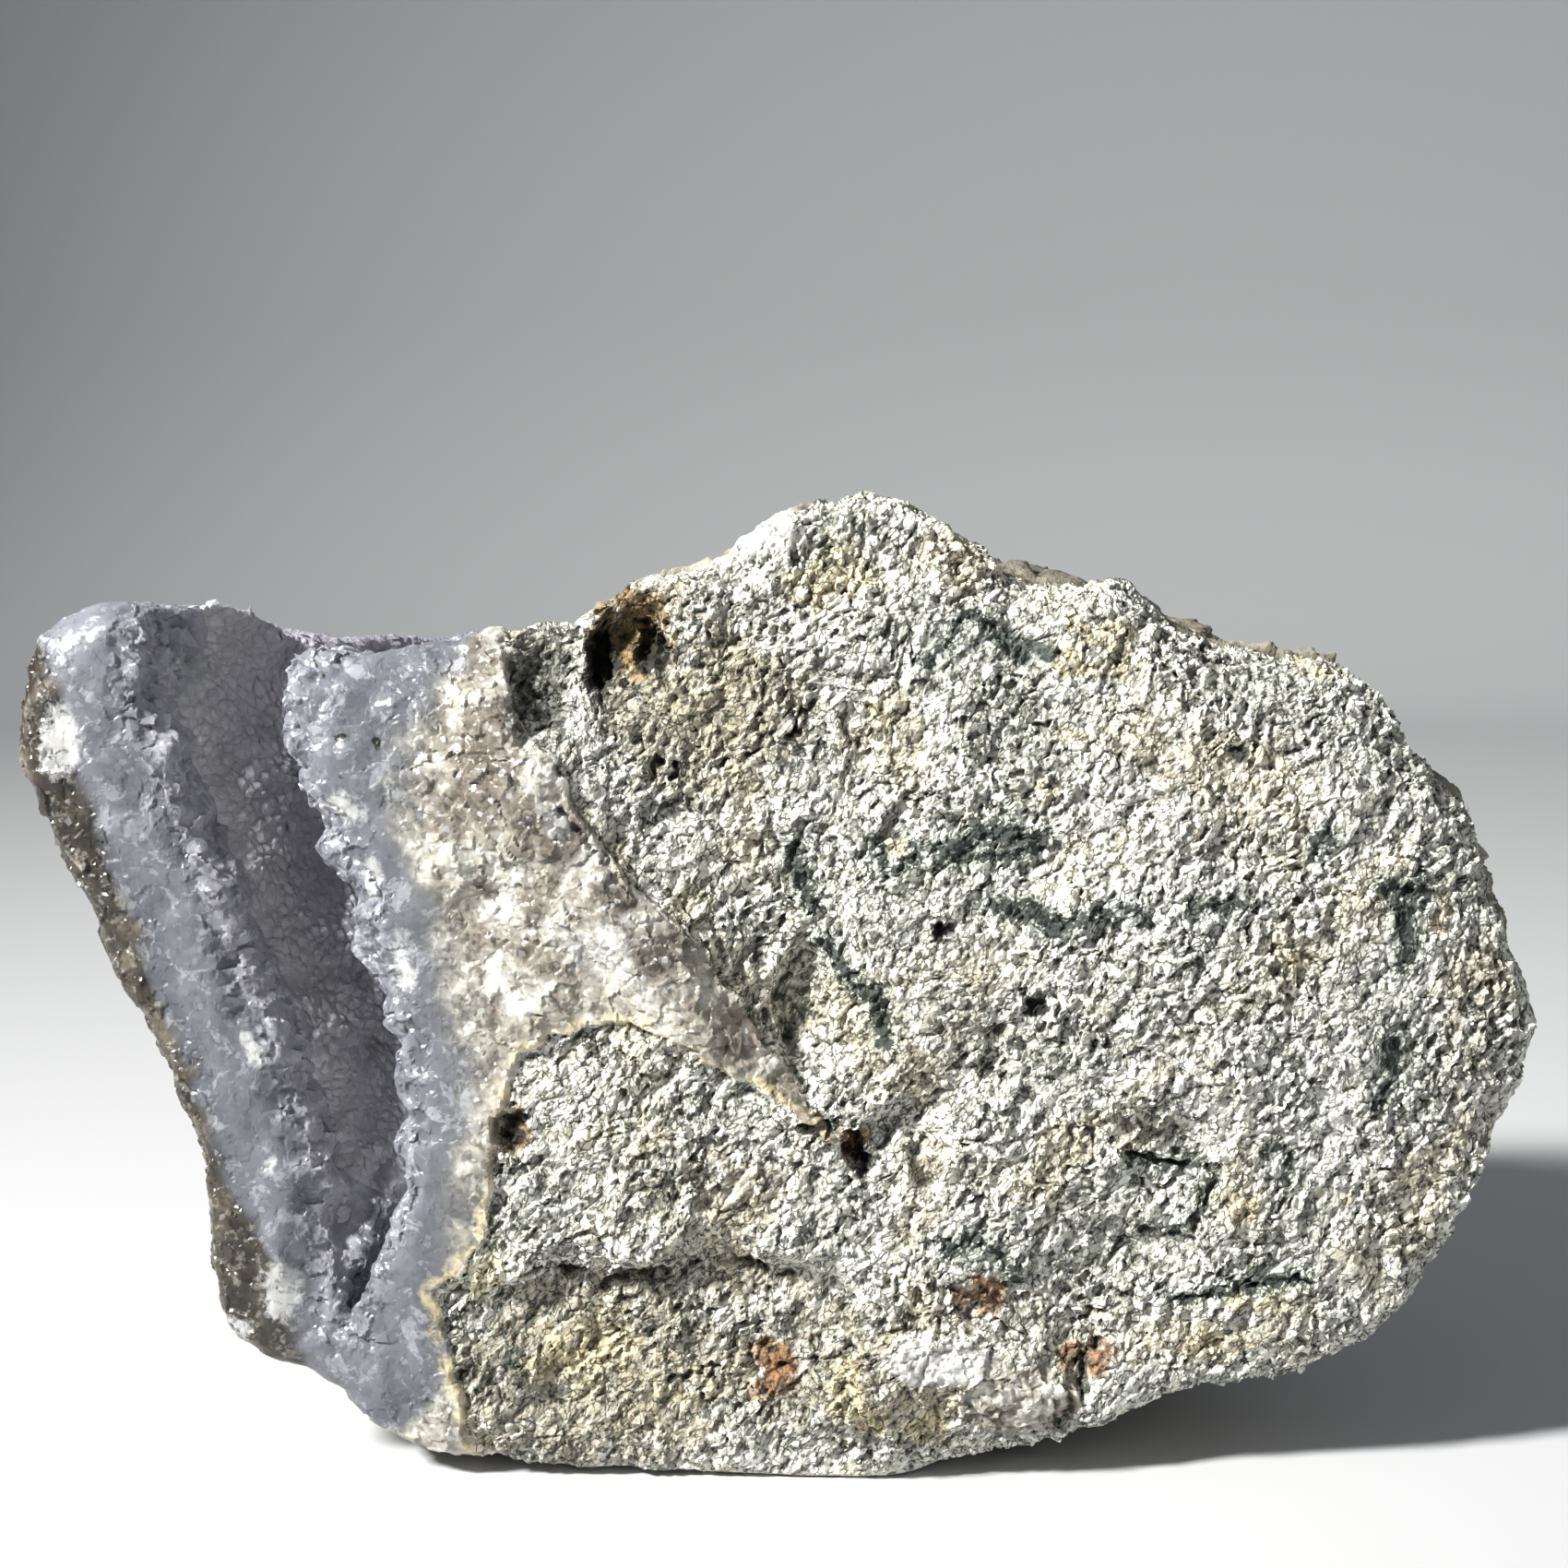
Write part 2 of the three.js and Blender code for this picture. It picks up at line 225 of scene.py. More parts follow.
STAINS_AND_SHADE = {
    Tint.TAN: patches(
        (3.5, 72.4, 4.2, 3.2), (7.4, 62, 1.3, 1.7, 0.7), (22.6, 60.2, 1.9, 1.9, 0.6),
        (20, 55.7, 3.2, 2, 0.7), (29.9, 56.8, 1.5, 1.5, 0.7), (24.9, 66.6, 5, 2.9, 0.95),
        (41.6, 64.8, 3, 1.5, 0.6), (51.6, 46.3, 1.8, 2.6, 0.7), (40.2, 42.9, 1.8, 1.3, 0.5),
        (22.9, 48.9, 2.4, 2.2, 0.6), (27.6, 52.8, 1.7, 1.5, 0.5), (14.8, 54, 2, 1.2, 0.6),
        (8.7, 51.6, 1.3, 1.6, 0.9), (34.4, 11.7, 3.6, 2), (37.9, 15.4, 4.6, 1.5, 0.9),
        (36.5, 23, 1.5, 1.4, 0.8), (43.3, 23.8, 2, 1.4, 0.6), (44.7, 32.6, 1.5, 1.3, 0.7),
        (-16, 10.3, 6.5, 4, 0.75), (4.7, 8.5, 2.2, 2.6, 0.9), (6.6, 6.2, 2, 2), (11, 5, 3, 2.4),
        (-23.5, 17.3, 1.9, 1.9, 0.9), (-9, 8, 5, 4, 0.5), (27, 14, 4, 2.2, 0.4),
    ),
    Tint.RUST: patches(
        (15.5, 15.5, 3, 2), (24.4, 10.4, 2.6, 2.2, 0.8), (-0.7, 9.7, 2.8, 3.4, 0.75),
        (5.6, 27.9, 1.8, 2, 0.9), (2.5, 71, 2, 1.6, 0.35), (26.5, 65.2, 2.4, 1.8, 0.3),
        (-2.5, 6, 3, 2, 0.3), (39.5, 15.6, 1.6, 0.8, 0.35),
    ),
    Tint.CELADON: patches(
        (19.3, 66.6, 2.3, 1.1), (28, 45.9, 1.3, 0.9), (35.3, 58.8, 1.3, 0.9), (49, 45.9, 1.5, 1.8, 0.7),
        (17.2, 67.9, 1, 1), (-22.7, 9.9, 3.6, 6.4, 0.45), (12.6, 44.9, 0.9, 0.7), (19.4, 39.4, 1.1, 1),
        (-17.5, 22.6, 1.2, 0.5, 0.8), (27, 22, 3.6, 3.4, 0.35), (1, 36, 3, 5.5, 0.4), (22, 26, 4, 3, 0.25),
        (-8, 21, 4, 1.5, 0.35), (33, 62, 2, 2.5, 0.35),
    ),
    Tint.WHITE: patches(
        (12.3, 10.7, 5.6, 2.2), (30.3, 24.6, 3.2, 2.2, 0.9), (41, 39.8, 1.6, 2.2, 0.5),
        (-13.6, 19.9, 2.6, 1.3, 0.8), (-1.6, 75.2, 4.6, 1.7), (-40.3, 15.8, 2.6, 3.6, 0.8),
        (-56.8, 59.5, 1.9, 3.6, 0.9), (-14.5, 44, 5.5, 4, 0.55), (-34.6, 54.6, 2.4, 1.9, 0.8),
        (-32, 49.4, 1.4, 2.6, 0.7), (-29.8, 42.6, 1.8, 3.2, 0.7), (-43, 40, 0.8, 1.4, 0.8),
        (-42.2, 35.2, 1, 1.8, 0.8), (-44.9, 66.9, 2.4, 1.4, 0.6), (-48.2, 64.4, 1.6, 2.6, 0.7),
        (-44.3, 11.8, 2, 2.6, 0.8), (-41.2, 26.1, 1, 1.6, 0.5), (-17.8, 54, 1.8, 1.8, 0.7),
        # These last two are broad and only make the right half of the face brighter
        (27, 51, 15, 11, 0.56), (41, 32, 9, 9, 0.6),
    ),
    Tint.SMOKE: patches(
        (-23.5, 58, 3.6, 7, 0.75), (-17.5, 53, 2.6, 3.4, 0.8), (-9, 43.5, 4.5, 3, 0.6),
        (-3.5, 36.6, 4, 3.2, 0.65), (1.5, 31, 3.4, 2.4, 0.9), (-13, 48, 3, 2.4, 0.6),
        (-24.5, 66, 3.6, 3, 0.55), (-26.5, 21, 1.6, 5, 0.4),
    ),
    # Painted shade: the hollows, the scoop beside the vein and the feet of ledges
    Tint.DARK: patches(
        (-19.3, 64.2, 3.2, 4.8, 1.1), (1.2, 37, 2.6, 5, 0.55), (3.4, 29.2, 1.6, 1.5, 0.8),
        (-17.7, 67.5, 1.6, 1.6, 0.7), (24, 9, 1.2, 2.6, 0.7), (27.5, 16.5, 2.6, 2.2, 0.35),
        (33.6, 65.5, 1.2, 2.2, 0.5), (-4, 5.5, 3, 1.6, 0.4),
    ),
    Tint.AMBER: patches((-12.2, 67.8, 3.6, 4.2, 1.4), (-21.3, 29.3, 1.3, 2.2, 1.2)),
    # Broad washes, partly brown tone and partly painted shade where the face turns away from the light
    Tint.UMBER: patches(
        (-15, 9, 13, 9, 1.4), (4, 9, 12, 7, 0.9), (-6, 62, 9.5, 8.5, 1.15), (-8, 24, 12, 9, 0.55),
        (12, 38, 11, 12, 0.45), (54, 34, 4, 16, 0.5),
    ),
    # Painted shade deep in the holes; the last six patches are real dark specks on the bank
    Tint.SOOT: patches(
        (-14.4, 65.6, 1.5, 3.2, 1.4), (-10.4, 66.2, 1.5, 1.8, 1.2), (-20.4, 61.8, 1.3, 2.4, 0.6),
        (6.2, 26.9, 1.1, 1.6, 1.2), (12.6, 44.9, 0.9, 0.8), (19.4, 39.4, 0.9, 0.8),
        (-21.4, 28.9, 0.8, 1.2, 1.1), (-34.7, 60.3, 0.36, 0.3, 0.9), (-32.3, 60, 0.42, 0.34, 0.9),
        (-32.8, 63.3, 0.36, 0.3, 0.9), (-34.9, 57.4, 0.34, 0.3, 0.9), (-32.4, 57.8, 0.36, 0.3, 0.9),
        (-35.8, 64.9, 0.34, 0.3, 0.9),
    ),
    Tint.QUARTZ: patches((19, 7, 5.2, 3.4), (12.5, 10.6, 5.2, 2, 0.9), (-1.8, 75.4, 4, 1.5)),
}

# Thin dark green seams of celadonite and the black outlines of altered grains: half width and corners
SEAMS = tuple((half, Trace(tuple(line))) for half, *line in (
    (0.55, (12.1, 51), (15.2, 52.7), (19.9, 52.5)),
    (0.45, (12.1, 50.8), (15.9, 51), (19.9, 51.5), (20, 52.6)),
    (0.95, (16.9, 47.4), (19.5, 46.7), (21.4, 45.6)),
    (0.35, (21.4, 45.6), (23.5, 46.5), (27.5, 47.2)),
    (0.7, (0.8, 51.2), (1.3, 48.9), (2.2, 46.5)),
    (0.8, (3.1, 43.3), (4.7, 41.2), (7.3, 39.4), (8, 36.1)),
    (0.6, (46.6, 48.4), (50.5, 48.1)),
    (0.6, (48.1, 47.8), (48.9, 45.6), (48.6, 42)),
    (0.3, (31.5, 47), (37.6, 47.4)),
    (0.4, (46.6, 31.1), (48.4, 33.9), (47.9, 36.3)),
    (0.4, (11.1, 66.2), (12.9, 67.2), (14.3, 69.7), (16.1, 68.6)),
    (0.35, (7.4, 51.4), (7.5, 50.2), (8.7, 49.7), (10.1, 50.5), (9.9, 51.8)),
    (0.3, (31, 15.1), (35.9, 16.6), (41.7, 16.8)),
    (0.3, (27.5, 26.6), (30.8, 26.3), (33.4, 26.1), (33.4, 23.6), (30.8, 20.6)),
    (0.3, (37.8, 27.4), (39, 28), (40, 27.2), (39.8, 25.9)),
    (0.3, (41.2, 52.2), (42.6, 52.7), (43.2, 51.7), (42, 51), (41.2, 52.2)),
    (0.3, (12.6, 19.6), (15, 20.2), (17, 19.3), (18.6, 16.4)),
))

HOLLOWS = patches(
    (-12.3, 68.9, 3.1, 2.9, 1.7), (-14.3, 65.9, 1.1, 2.8, 3.4), (-10.5, 66.6, 1.4, 1.8, 3),
    (-18.4, 64.4, 3.2, 4.6, 1.1), (-20.2, 62.2, 1.3, 2.6, 1), (-21.3, 29.4, 1, 1.7, 1.6),
    (6.2, 27.2, 1, 1.6, 2.4), (2.8, 29.6, 2, 0.6, 1.2), (1.2, 37.6, 2.4, 5.6, 1.9),
    (24, 9.2, 0.7, 2.4, 1.2), (19.4, 39.4, 0.9, 0.8, 0.9), (12.6, 44.9, 0.7, 0.6, 0.9),
    (33.9, 66.2, 0.6, 1.8, 0.9), (-9.9, 57.3, 0.5, 1.2, 0.8), (-8.7, 57, 0.4, 1.1, 0.8),
    (28.2, 46.1, 1, 0.5, 0.6), (16.4, 34.8, 1.4, 3.4, 0.9), (11, 26.5, 1, 3, 0.9),
    (5.8, 58.6, 1.6, 5, 0.7), (29.5, 19.2, 3.6, 1.6, 0.9),
)

# Narrow cracks and the feet of small ledges: depth, half width and corners
GROOVES = tuple((deep, half, Trace(tuple(line))) for deep, half, *line in (
    (0.9, 0.35, (-5, 57.6), (-1.6, 58.6), (0.9, 60.6), (2.6, 63.2)),
    (0.7, 0.3, (-16.4, 54.6), (-15.2, 52.3), (-13.4, 49.8)),
    (1.1, 0.5, (-20.3, 17.6), (-15.2, 16.6), (-10.4, 17.4), (-4.4, 18.2), (0.4, 16.8)),
    (0.8, 0.35, (31, 15.1), (35.9, 16.6), (41.7, 16.8)),
    (1, 0.4, (27.3, 27), (30.8, 26.6), (33.8, 26.4), (33.6, 23.4), (30.8, 20.2), (28.4, 21)),
    (0.8, 0.4, (22.1, 5.4), (23.1, 8.7), (24.9, 11.7)),
    (0.7, 0.4, (6, 27), (9.8, 28.8), (12.2, 31.4), (13.8, 34.6)),
    (0.6, 0.3, (5.2, 12.8), (9.4, 13.6), (14, 13.9), (19.3, 12.4)),
    (0.6, 0.3, (-9, 8), (-5.4, 9.4), (-2, 7.6), (2.6, 10.6)),
    (0.5, 0.3, (33.6, 26), (31, 20), (26.6, 15), (22.4, 11.6)),
))


def sampled(kind: Callable, spots: Rows, size: float, start: float = 0.0) -> np.ndarray:
    """Reads a noise, whose lumps are a size apart in millimetres and whose pattern starts somewhere."""
    return np.array([kind(spot) for spot in (spots / size + start).tolist()])


def wandered(spots: Rows, size: float, start: float, reach: float) -> Rows:
    """Moves places by a noise, up to a reach in millimetres, so that an edge read there looks natural."""
    return spots + sampled(noise.noise_vector, spots, size, start) * reach


def chipped(spots: Rows, size: float, start: float) -> tuple[Values, Values, Values]:
    """Breaks a surface into flat chips, each with a tilt and a height of its own.

    Args:
        spots: The places.
        size: Distance between chips in millimetres.
        start: Where the pattern starts.

    Returns:
        The height of each spot on its tilted chip, about -1 to 1; the height of its chip, -0.5 to 0.5;
        and how far it is from the next chip, in sizes.
    """
    scaled = spots / size + start
    homes, joints = np.empty_like(scaled), np.empty(len(scaled))
    for index, spot in enumerate(scaled.tolist()):
        gaps, centres = noise.voronoi(spot)
        homes[index] = centres[0]
        joints[index] = gaps[1] - gaps[0]
    lean = np.modf(np.abs(np.sin(homes @ SCATTER)) * SCATTER_GAIN)[0] - 0.5
    return 2.0 * ((scaled - homes) * lean).sum(axis=1), lean[:, 0], joints


def along_grain(spots: Rows) -> Rows:
    """Turns places in the plane of the face and draws them out along the host rock's grain."""
    cos, sin = math.cos(math.radians(GRAIN_ANGLE)), math.sin(math.radians(GRAIN_ANGLE))
    along = (spots[:, 0] * cos + spots[:, 2] * sin) / GRAIN_STRETCH
    return np.column_stack((along, spots[:, 1], spots[:, 2] * cos - spots[:, 0] * sin))


def behind_rim(spots: Rows) -> Values:
    """How far each spot lies behind the plane of the broken face's outline, in millimetres."""
    return spots[:, 1] - RIM_DEPTH - RIM_LEAN * (spots[:, 2] - RIM_HEIGHT)


def shifted(spots: Rows) -> Rows:
    """How far the stone's shape wanders from its plain form, the same for stone and crust.

    Args:
        spots: The places.

    Returns:
        One row of millimetres for each spot.
    """
    moved = sampled(noise.noise_vector, spots, 6.5, 31.7) * (0.7, 0.0, 0.6)
    moved += sampled(noise.noise_vector, spots, 2.3, 5.2) * (0.4, 0.15, 0.4)
    height = spots[:, 2]
    behind = behind_rim(spots)
    left = spots[:, 0] - np.interp(height, *LEFT_LIP)
    right = spots[:, 0] - np.interp(height, *RIGHT_LIP)
    # The left lip is worn round, so the face sinks towards it
    shoulder = np.clip(left / 7.5 + 0.8, 0, 1) ** 2 * smoothstep(0.5, 4.0, -right)
    moved[:, 1] += 2.4 * shoulder * smoothstep(11.0, 17.0, height) * (1 - smoothstep(4.0, 14.0, behind))
    # The right lip is torn, in teeth that run straight back
    torn = (1 - smoothstep(0.5, 3.5, np.abs(right))) * (1 - smoothstep(3.0, 7.0, behind))
    upright = spots * (0.2, 0.2, 1.0)
    teeth = 1.3 * sampled(noise.noise, upright, 3.3, 12.6) + 0.6 * sampled(noise.noise, upright, 1.2, 3.6)
    moved[:, 0] += torn * teeth
    return moved


def places(mesh: Mesh) -> Rows:
    """The vertices of a mesh."""
    flat = np.empty(len(mesh.vertices) * 3)
    mesh.vertices.foreach_get("co", flat)
    return flat.reshape(-1, 3) / MM


def outward(mesh: Mesh) -> np.ndarray:
    """The normals of a mesh's vertices, one row each."""
    flat = np.empty(len(mesh.vertices) * 3, np.float32)
    mesh.vertex_normals.foreach_get("vector", flat)
    return flat.reshape(-1, 3).astype(float)


def put(mesh: Mesh, spots: Rows) -> None:
    """Moves a mesh's vertices to new places."""
    mesh.vertices.foreach_set("co", (spots * MM).astype(np.float32).ravel())
    mesh.update()


def marked(mesh: Mesh, name: str) -> Values:
    """The numbers that a mesh holds for its vertices under a name."""
    values = np.empty(len(mesh.vertices), np.float32)
    mesh.attributes[name].data.foreach_get("value", values)
    return values.astype(float)


def mark(mesh: Mesh, name: str, values: Values) -> None:
    """Stores one number for each vertex of a mesh under a name, for its materials to read."""
    layer = mesh.attributes.new(name, "FLOAT", "POINT")
    layer.data.foreach_set("value", values.astype(np.float32))


def opened(mesh: Mesh) -> bmesh.types.BMesh:
    """A mesh's shape, ready to be worked on."""
    shape = bmesh.new()
    shape.from_mesh(mesh)
    return shape


def closed(shape: bmesh.types.BMesh, mesh: Mesh) -> Mesh:
    """Writes a shape to a mesh, frees the shape and returns the mesh."""
    shape.to_mesh(mesh)
    shape.free()
    return mesh


def linked(name: str, data: bpy.types.ID) -> Piece:
    """Puts a new object into the scene.

    Args:
        name: Its name.
        data: Its mesh, light or camera.

    Returns:
        The new object.
    """
    piece = bpy.data.objects.new(name, data)
    bpy.context.scene.collection.objects.link(piece)
    return piece


def merged(node: Piece, name: str) -> Piece:
    """Copies a CAD node's mesh into a new object, with its loose triangles joined.

    Args:
        node: The CAD node.
        name: Name of the new object.

    Returns:
        The new object, in the scene.
    """
    shape = opened(node.data)
    bmesh.ops.remove_doubles(shape, verts=shape.verts, dist=MM * 0.001)
    piece = linked(name, closed(shape, bpy.data.meshes.new(name)))
    piece.data.materials.clear()
    return piece


def joined(mesh: Mesh, other: Mesh) -> None:
    """Adds a second mesh to a mesh.

    Args:
        mesh: The mesh that grows.
        other: The mesh that goes in. It is removed, and an object that holds it too.
    """
    shape = opened(mesh)
    shape.from_mesh(other)
    bpy.data.meshes.remove(other)
    closed(shape, mesh)


def settle(piece: Piece) -> None:
    """Gives a piece the mesh that its modifiers make, and takes them off."""
    graph = bpy.context.evaluated_depsgraph_get()
    made = bpy.data.meshes.new_from_object(piece.evaluated_get(graph))
    piece.modifiers.clear()
    piece.data = made


def softened(piece: Piece, rounds: int, voxel_mm: float = 0.0) -> None:
    """Smooths a piece.

    Args:
        piece: The piece.
        rounds: How often each vertex is averaged with its neighbours.
        voxel_mm: Spacing of the even mesh that it gets first, or 0 to keep its own.
    """
    if voxel_mm:
        remesh = piece.modifiers.new("even", "REMESH")
        remesh.mode = "VOXEL"
        remesh.voxel_size = voxel_mm * MM
    smooth = piece.modifiers.new("soften", "SMOOTH")
    smooth.factor = 0.5
    smooth.iterations = rounds
    settle(piece)


def smoothed(mesh: Mesh, rounds: int) -> Rows:
    """Averages a mesh's vertices with their neighbours.

    Args:
        mesh: The mesh, which stays as it is.
        rounds: How often the average is taken.

    Returns:
        The averaged places.
    """
    helper = linked("helper", mesh.copy())
    softened(helper, rounds)
    spots = places(helper.data)
    bpy.data.objects.remove(helper)
    return spots


def surface_of(shape: bmesh.types.BMesh) -> BVHTree:
    """Makes a shape's surface ready to be asked for its nearest place, and frees the shape."""
    tree = BVHTree.FromBMesh(shape)
    shape.free()
    return tree


def gaps_to(shape: bmesh.types.BMesh, spots: Rows) -> Values:
    """How far places lie from a shape, which is freed, in millimetres."""
    tree = surface_of(shape)
    return np.array([tree.find_nearest(spot)[3] for spot in (spots * MM).tolist()]) / MM


def half_of(mesh: Mesh, spot: Vector, away: Vector) -> Mesh:
    """Cuts a closed mesh by a plane and closes the cut.

    Args:
        mesh: The mesh, which stays as it is.
        spot: A place on the plane, in metres.
        away: Direction of the side that is left out.

    Returns:
        A new mesh of the other side.
    """
    shape = opened(mesh)
    geometry = shape.verts[:] + shape.edges[:] + shape.faces[:]
    bmesh.ops.bisect_plane(shape, geom=geometry, plane_co=spot, plane_no=away, clear_outer=True)
    rim = [edge for edge in shape.edges if edge.is_boundary]
    bmesh.ops.triangle_fill(shape, use_beauty=False, use_dissolve=False, edges=rim, normal=away)
    bmesh.ops.triangulate(shape, faces=[face for face in shape.faces if len(face.verts) > 3])
    return closed(shape, bpy.data.meshes.new(mesh.name))


def thinned(piece: Piece, triangles: int, cut: float) -> None:
    """Thins a piece to a number of triangles, most of all where it is weathered or hidden.

    Args:
        piece: The piece.
        triangles: How many triangles it may have.
        cut: How far behind the outline it is parted from the next, where it stays fine.
    """
    for weighted in (True, False):
        if len(piece.data.polygons) <= triangles:
            break
        thin = piece.modifiers.new("thin", "DECIMATE")
        thin.ratio = 0.995 * triangles / len(piece.data.polygons)
        thin.use_collapse_triangulate = True
        if weighted:
            behind = behind_rim(places(piece.data))
            back = smoothstep(2.0, 4.5, behind) * smoothstep(0.2, 1.0, np.abs(behind - cut))
            group = piece.vertex_groups.new(name="plain")
            for level in range(5):
                chosen = np.flatnonzero(np.round(back * 4) == level)
                group.add(chosen.tolist(), level / 4, "REPLACE")
            thin.vertex_group = group.name
            thin.vertex_group_factor = 1.0
        settle(piece)
        piece.vertex_groups.clear()
    spots = places(piece.data)
    spots[:, 2] = np.maximum(spots[:, 2], 0.0)
    put(piece.data, spots)


def linear(code: str) -> tuple[float, float, float, float]:
    """Turns an sRGB hex colour into the linear colour that a shader takes.

    Args:
        code: The colour, such as #a0b0c0.

    Returns:
        Red, green, blue and alpha.
    """
    shares = [int(code[at:at + 2], 16) / 255 for at in (1, 3, 5)]
    red, green, blue = (s / 12.92 if s <= 0.04045 else ((s + 0.055) / 1.055) ** 2.4 for s in shares)
    return red, green, blue, 1.0


class Nodes:
    """The nodes of a new material or world.

    Attributes:
        holder: The material or world.
    """

    def __init__(self, holder: bpy.types.Material | bpy.types.World) -> None:
        """Clears the nodes that it came with.

        Args:
            holder: The material or world.
        """
        self.holder = holder
        holder.use_nodes = True
        holder.node_tree.nodes.clear()

    @cached_property
    def place(self) -> Socket:
        """Object coordinates, in metres."""
        return self.add("TexCoord").outputs["Object"]

    @cached_property
    def millimetres(self) -> Socket:
        """Object coordinates, in millimetres."""
        inputs = {"Vector": self.place, "Scale": [MM] * 3}
        return self.add("Mapping", inputs, vector_type="TEXTURE").outputs[0]

    def add(self, kind: str, inputs: dict | None = None, **settings: object) -> Node:
        """Adds a node with its settings and links.

        Args:
            kind: Its type, as Blender calls it after the words ShaderNode.
            inputs: What goes into its sockets, by name or number: a value, a hex colour, a socket or a node.
            **settings: Values of its own properties.

        Returns:
            The new node.
        """
        tree = self.holder.node_tree
        node = tree.nodes.new("ShaderNode" + kind)
        for name, value in settings.items():
            setattr(node, name, value)
        for name, value in (inputs or {}).items():
            if isinstance(value, Node):
                value = value.outputs[0]
            if isinstance(value, Socket):
                tree.links.new(value, node.inputs[name])
            else:
                node.inputs[name].default_value = linear(value) if isinstance(value, str) else value
        return node

    def figure(self, operation: str, *values: Feed) -> Node:
        """Works out one number of up to three."""
        return self.add("Math", dict(enumerate(values)), operation=operation)

    def attribute(self, name: str) -> Socket:
        """Reads the numbers that a mesh holds under a name."""
        return self.add("Attribute", attribute_name=name).outputs["Fac"]

    def span(self, value: Feed, low: float, high: float, first: Feed = 0.0, last: Feed = 1.0,
             kind: str = "LINEAR") -> Node:
        """Turns a value that goes from low to high into one that goes from first to last, and stays there."""
        ends = {"Value": value, "From Min": low, "From Max": high, "To Min": first, "To Max": last}
        return self.add("MapRange", ends, interpolation_type=kind)

    def clouds(self, lumps: float, detail: float, roughness: float = 0.5, distortion: float = 0.0,
               place: Node | None = None) -> Node:
        """Adds a noise, with so many lumps on a millimetre, or on a unit of the place if one is given."""
        return self.add("TexNoise", {
            "Vector": place or self.millimetres, "Scale": lumps, "Detail": detail, "Roughness": roughness,
            "Distortion": distortion,
        })

    def ramp(self, share: Feed, *stops: tuple[float, str]) -> Socket:
        """Turns a share into a colour.

        Args:
            share: A share from 0 to 1.
            *stops: Rising places from 0 to 1, each with a hex colour.

        Returns:
            The colour.
        """
        node = self.add("ValToRGB", {"Fac": share})
        elements = node.color_ramp.elements
        for place, _ in stops[1:-1]:
            elements.new(place)
        for element, (place, code) in zip(elements, stops):
            element.position = place
            element.color = linear(code)
        return node.outputs["Color"]

    def mixed(self, share: Feed, first: Feed, second: Feed, blend: str = "MIX") -> Socket:
        """Lays a share of the second colour over the first."""
        return self.add("Mix", {0: share, 6: first, 7: second}, data_type="RGBA", blend_type=blend).outputs[2]

    def shaded(self, colour: Socket, shade: Node) -> Socket:
        """Darkens or brightens a colour by a shade."""
        return self.mixed(1.0, colour, shade, "MULTIPLY")

    def stained_and_shaded(self, colour: Socket, patchy: Node, *stains: tuple[Tint, str, float]) -> Socket:
        """Lays tints over a colour, real stains and painted shade alike, with frayed edges.

        Args:
            colour: The colour under them.
            patchy: The noise that frays them.
            *stains: A tint, its hex colour and how much it covers at most; some tints are painted shade.

        Returns:
            The colour with its tints.
        """
        fray = self.span(patchy, 0.34, 0.66, 0.35, 1.65)
        for tint, code, cover in stains:
            full = self.figure("MULTIPLY", self.attribute(tint.value), fray)
            colour = self.mixed(self.span(full, 0.3, 0.62, 0.0, cover), colour, code)
        return colour

    def facets(self, size: tuple[float, ...], turn: float = 0.0,
               place: Socket | None = None) -> tuple[Socket, Socket, Node]:
        """Breaks space into flat grains, each tilted its own way.

        Args:
            size: Length, depth and width of a grain in millimetres.
            turn: Lean of the grains above +X, in degrees.
            place: Coordinates of their own, in metres.

        Returns:
            The height of the tilted grains, a random share for each grain, and the grains' own space.
        """
        inputs = {"Vector": place or self.place, "Rotation": (0.0, -math.radians(turn), 0.0),
                  "Scale": [side * MM for side in size]}
        space = self.add("Mapping", inputs, vector_type="TEXTURE")
        cell = self.add("TexVoronoi", {"Vector": space, "Scale": 1.0})
        off = self.add("VectorMath", {0: space, 1: cell.outputs["Position"]}, operation="SUBTRACT")
        lean = self.add("VectorMath", {0: cell.outputs["Color"], 1: [0.5] * 3}, operation="SUBTRACT")
        height = self.add("VectorMath", {0: off, 1: lean}, operation="DOT_PRODUCT").outputs["Value"]
        share = self.add("SeparateColor", {"Color": cell.outputs["Color"]}).outputs["Green"]
        return height, share, space


@dataclass(frozen=True)
class Finish:
    """What all the finishes of the stone have in common.

    Attributes:
        name: What the finish really is.
        roughness: How matt it is.
        bump_mm: How far its bumps stand out.
        bump: How much of them is seen.
        ior: Its index of refraction.
        translucence: How much light goes in and comes out elsewhere.
        glow_mm: How far it goes, for red, green and blue.
    """

    name: str = ""
    roughness: float = 0.9
    bump_mm: float = 0.5
    bump: float = 0.85
    ior: float = 1.53
    translucence: float = 0.0
    glow_mm: tuple[float, float, float] = (1.0, 1.0, 1.1)

    def surface(self, n: Nodes) -> tuple[Socket, Node, Feed]:
        """Lays out the nodes that are the finish's own.

        Args:
            n: The nodes of its material.

        Returns:
            Its colour, the height of its bumps and how much of them is seen.
        """
        raise NotImplementedError

    def build(self) -> bpy.types.Material:
        """Makes the material.

        Returns:
            The material, which reads Object coordinates and what its mesh holds for each vertex.
        """
        n = Nodes(bpy.data.materials.new(self.name))
        colour, height, strength = self.surface(n)
        bump = n.add("Bump", {"Height": height, "Distance": self.bump_mm * MM, "Strength": strength})
        inputs = {"Base Color": colour, "Roughness": self.roughness, "IOR": self.ior, "Normal": bump,
                  "Subsurface Weight": self.translucence, "Subsurface Radius": self.glow_mm,
                  "Subsurface Scale": MM}
        n.add("OutputMaterial", {"Surface": n.add("BsdfPrincipled", inputs)})
        return n.holder


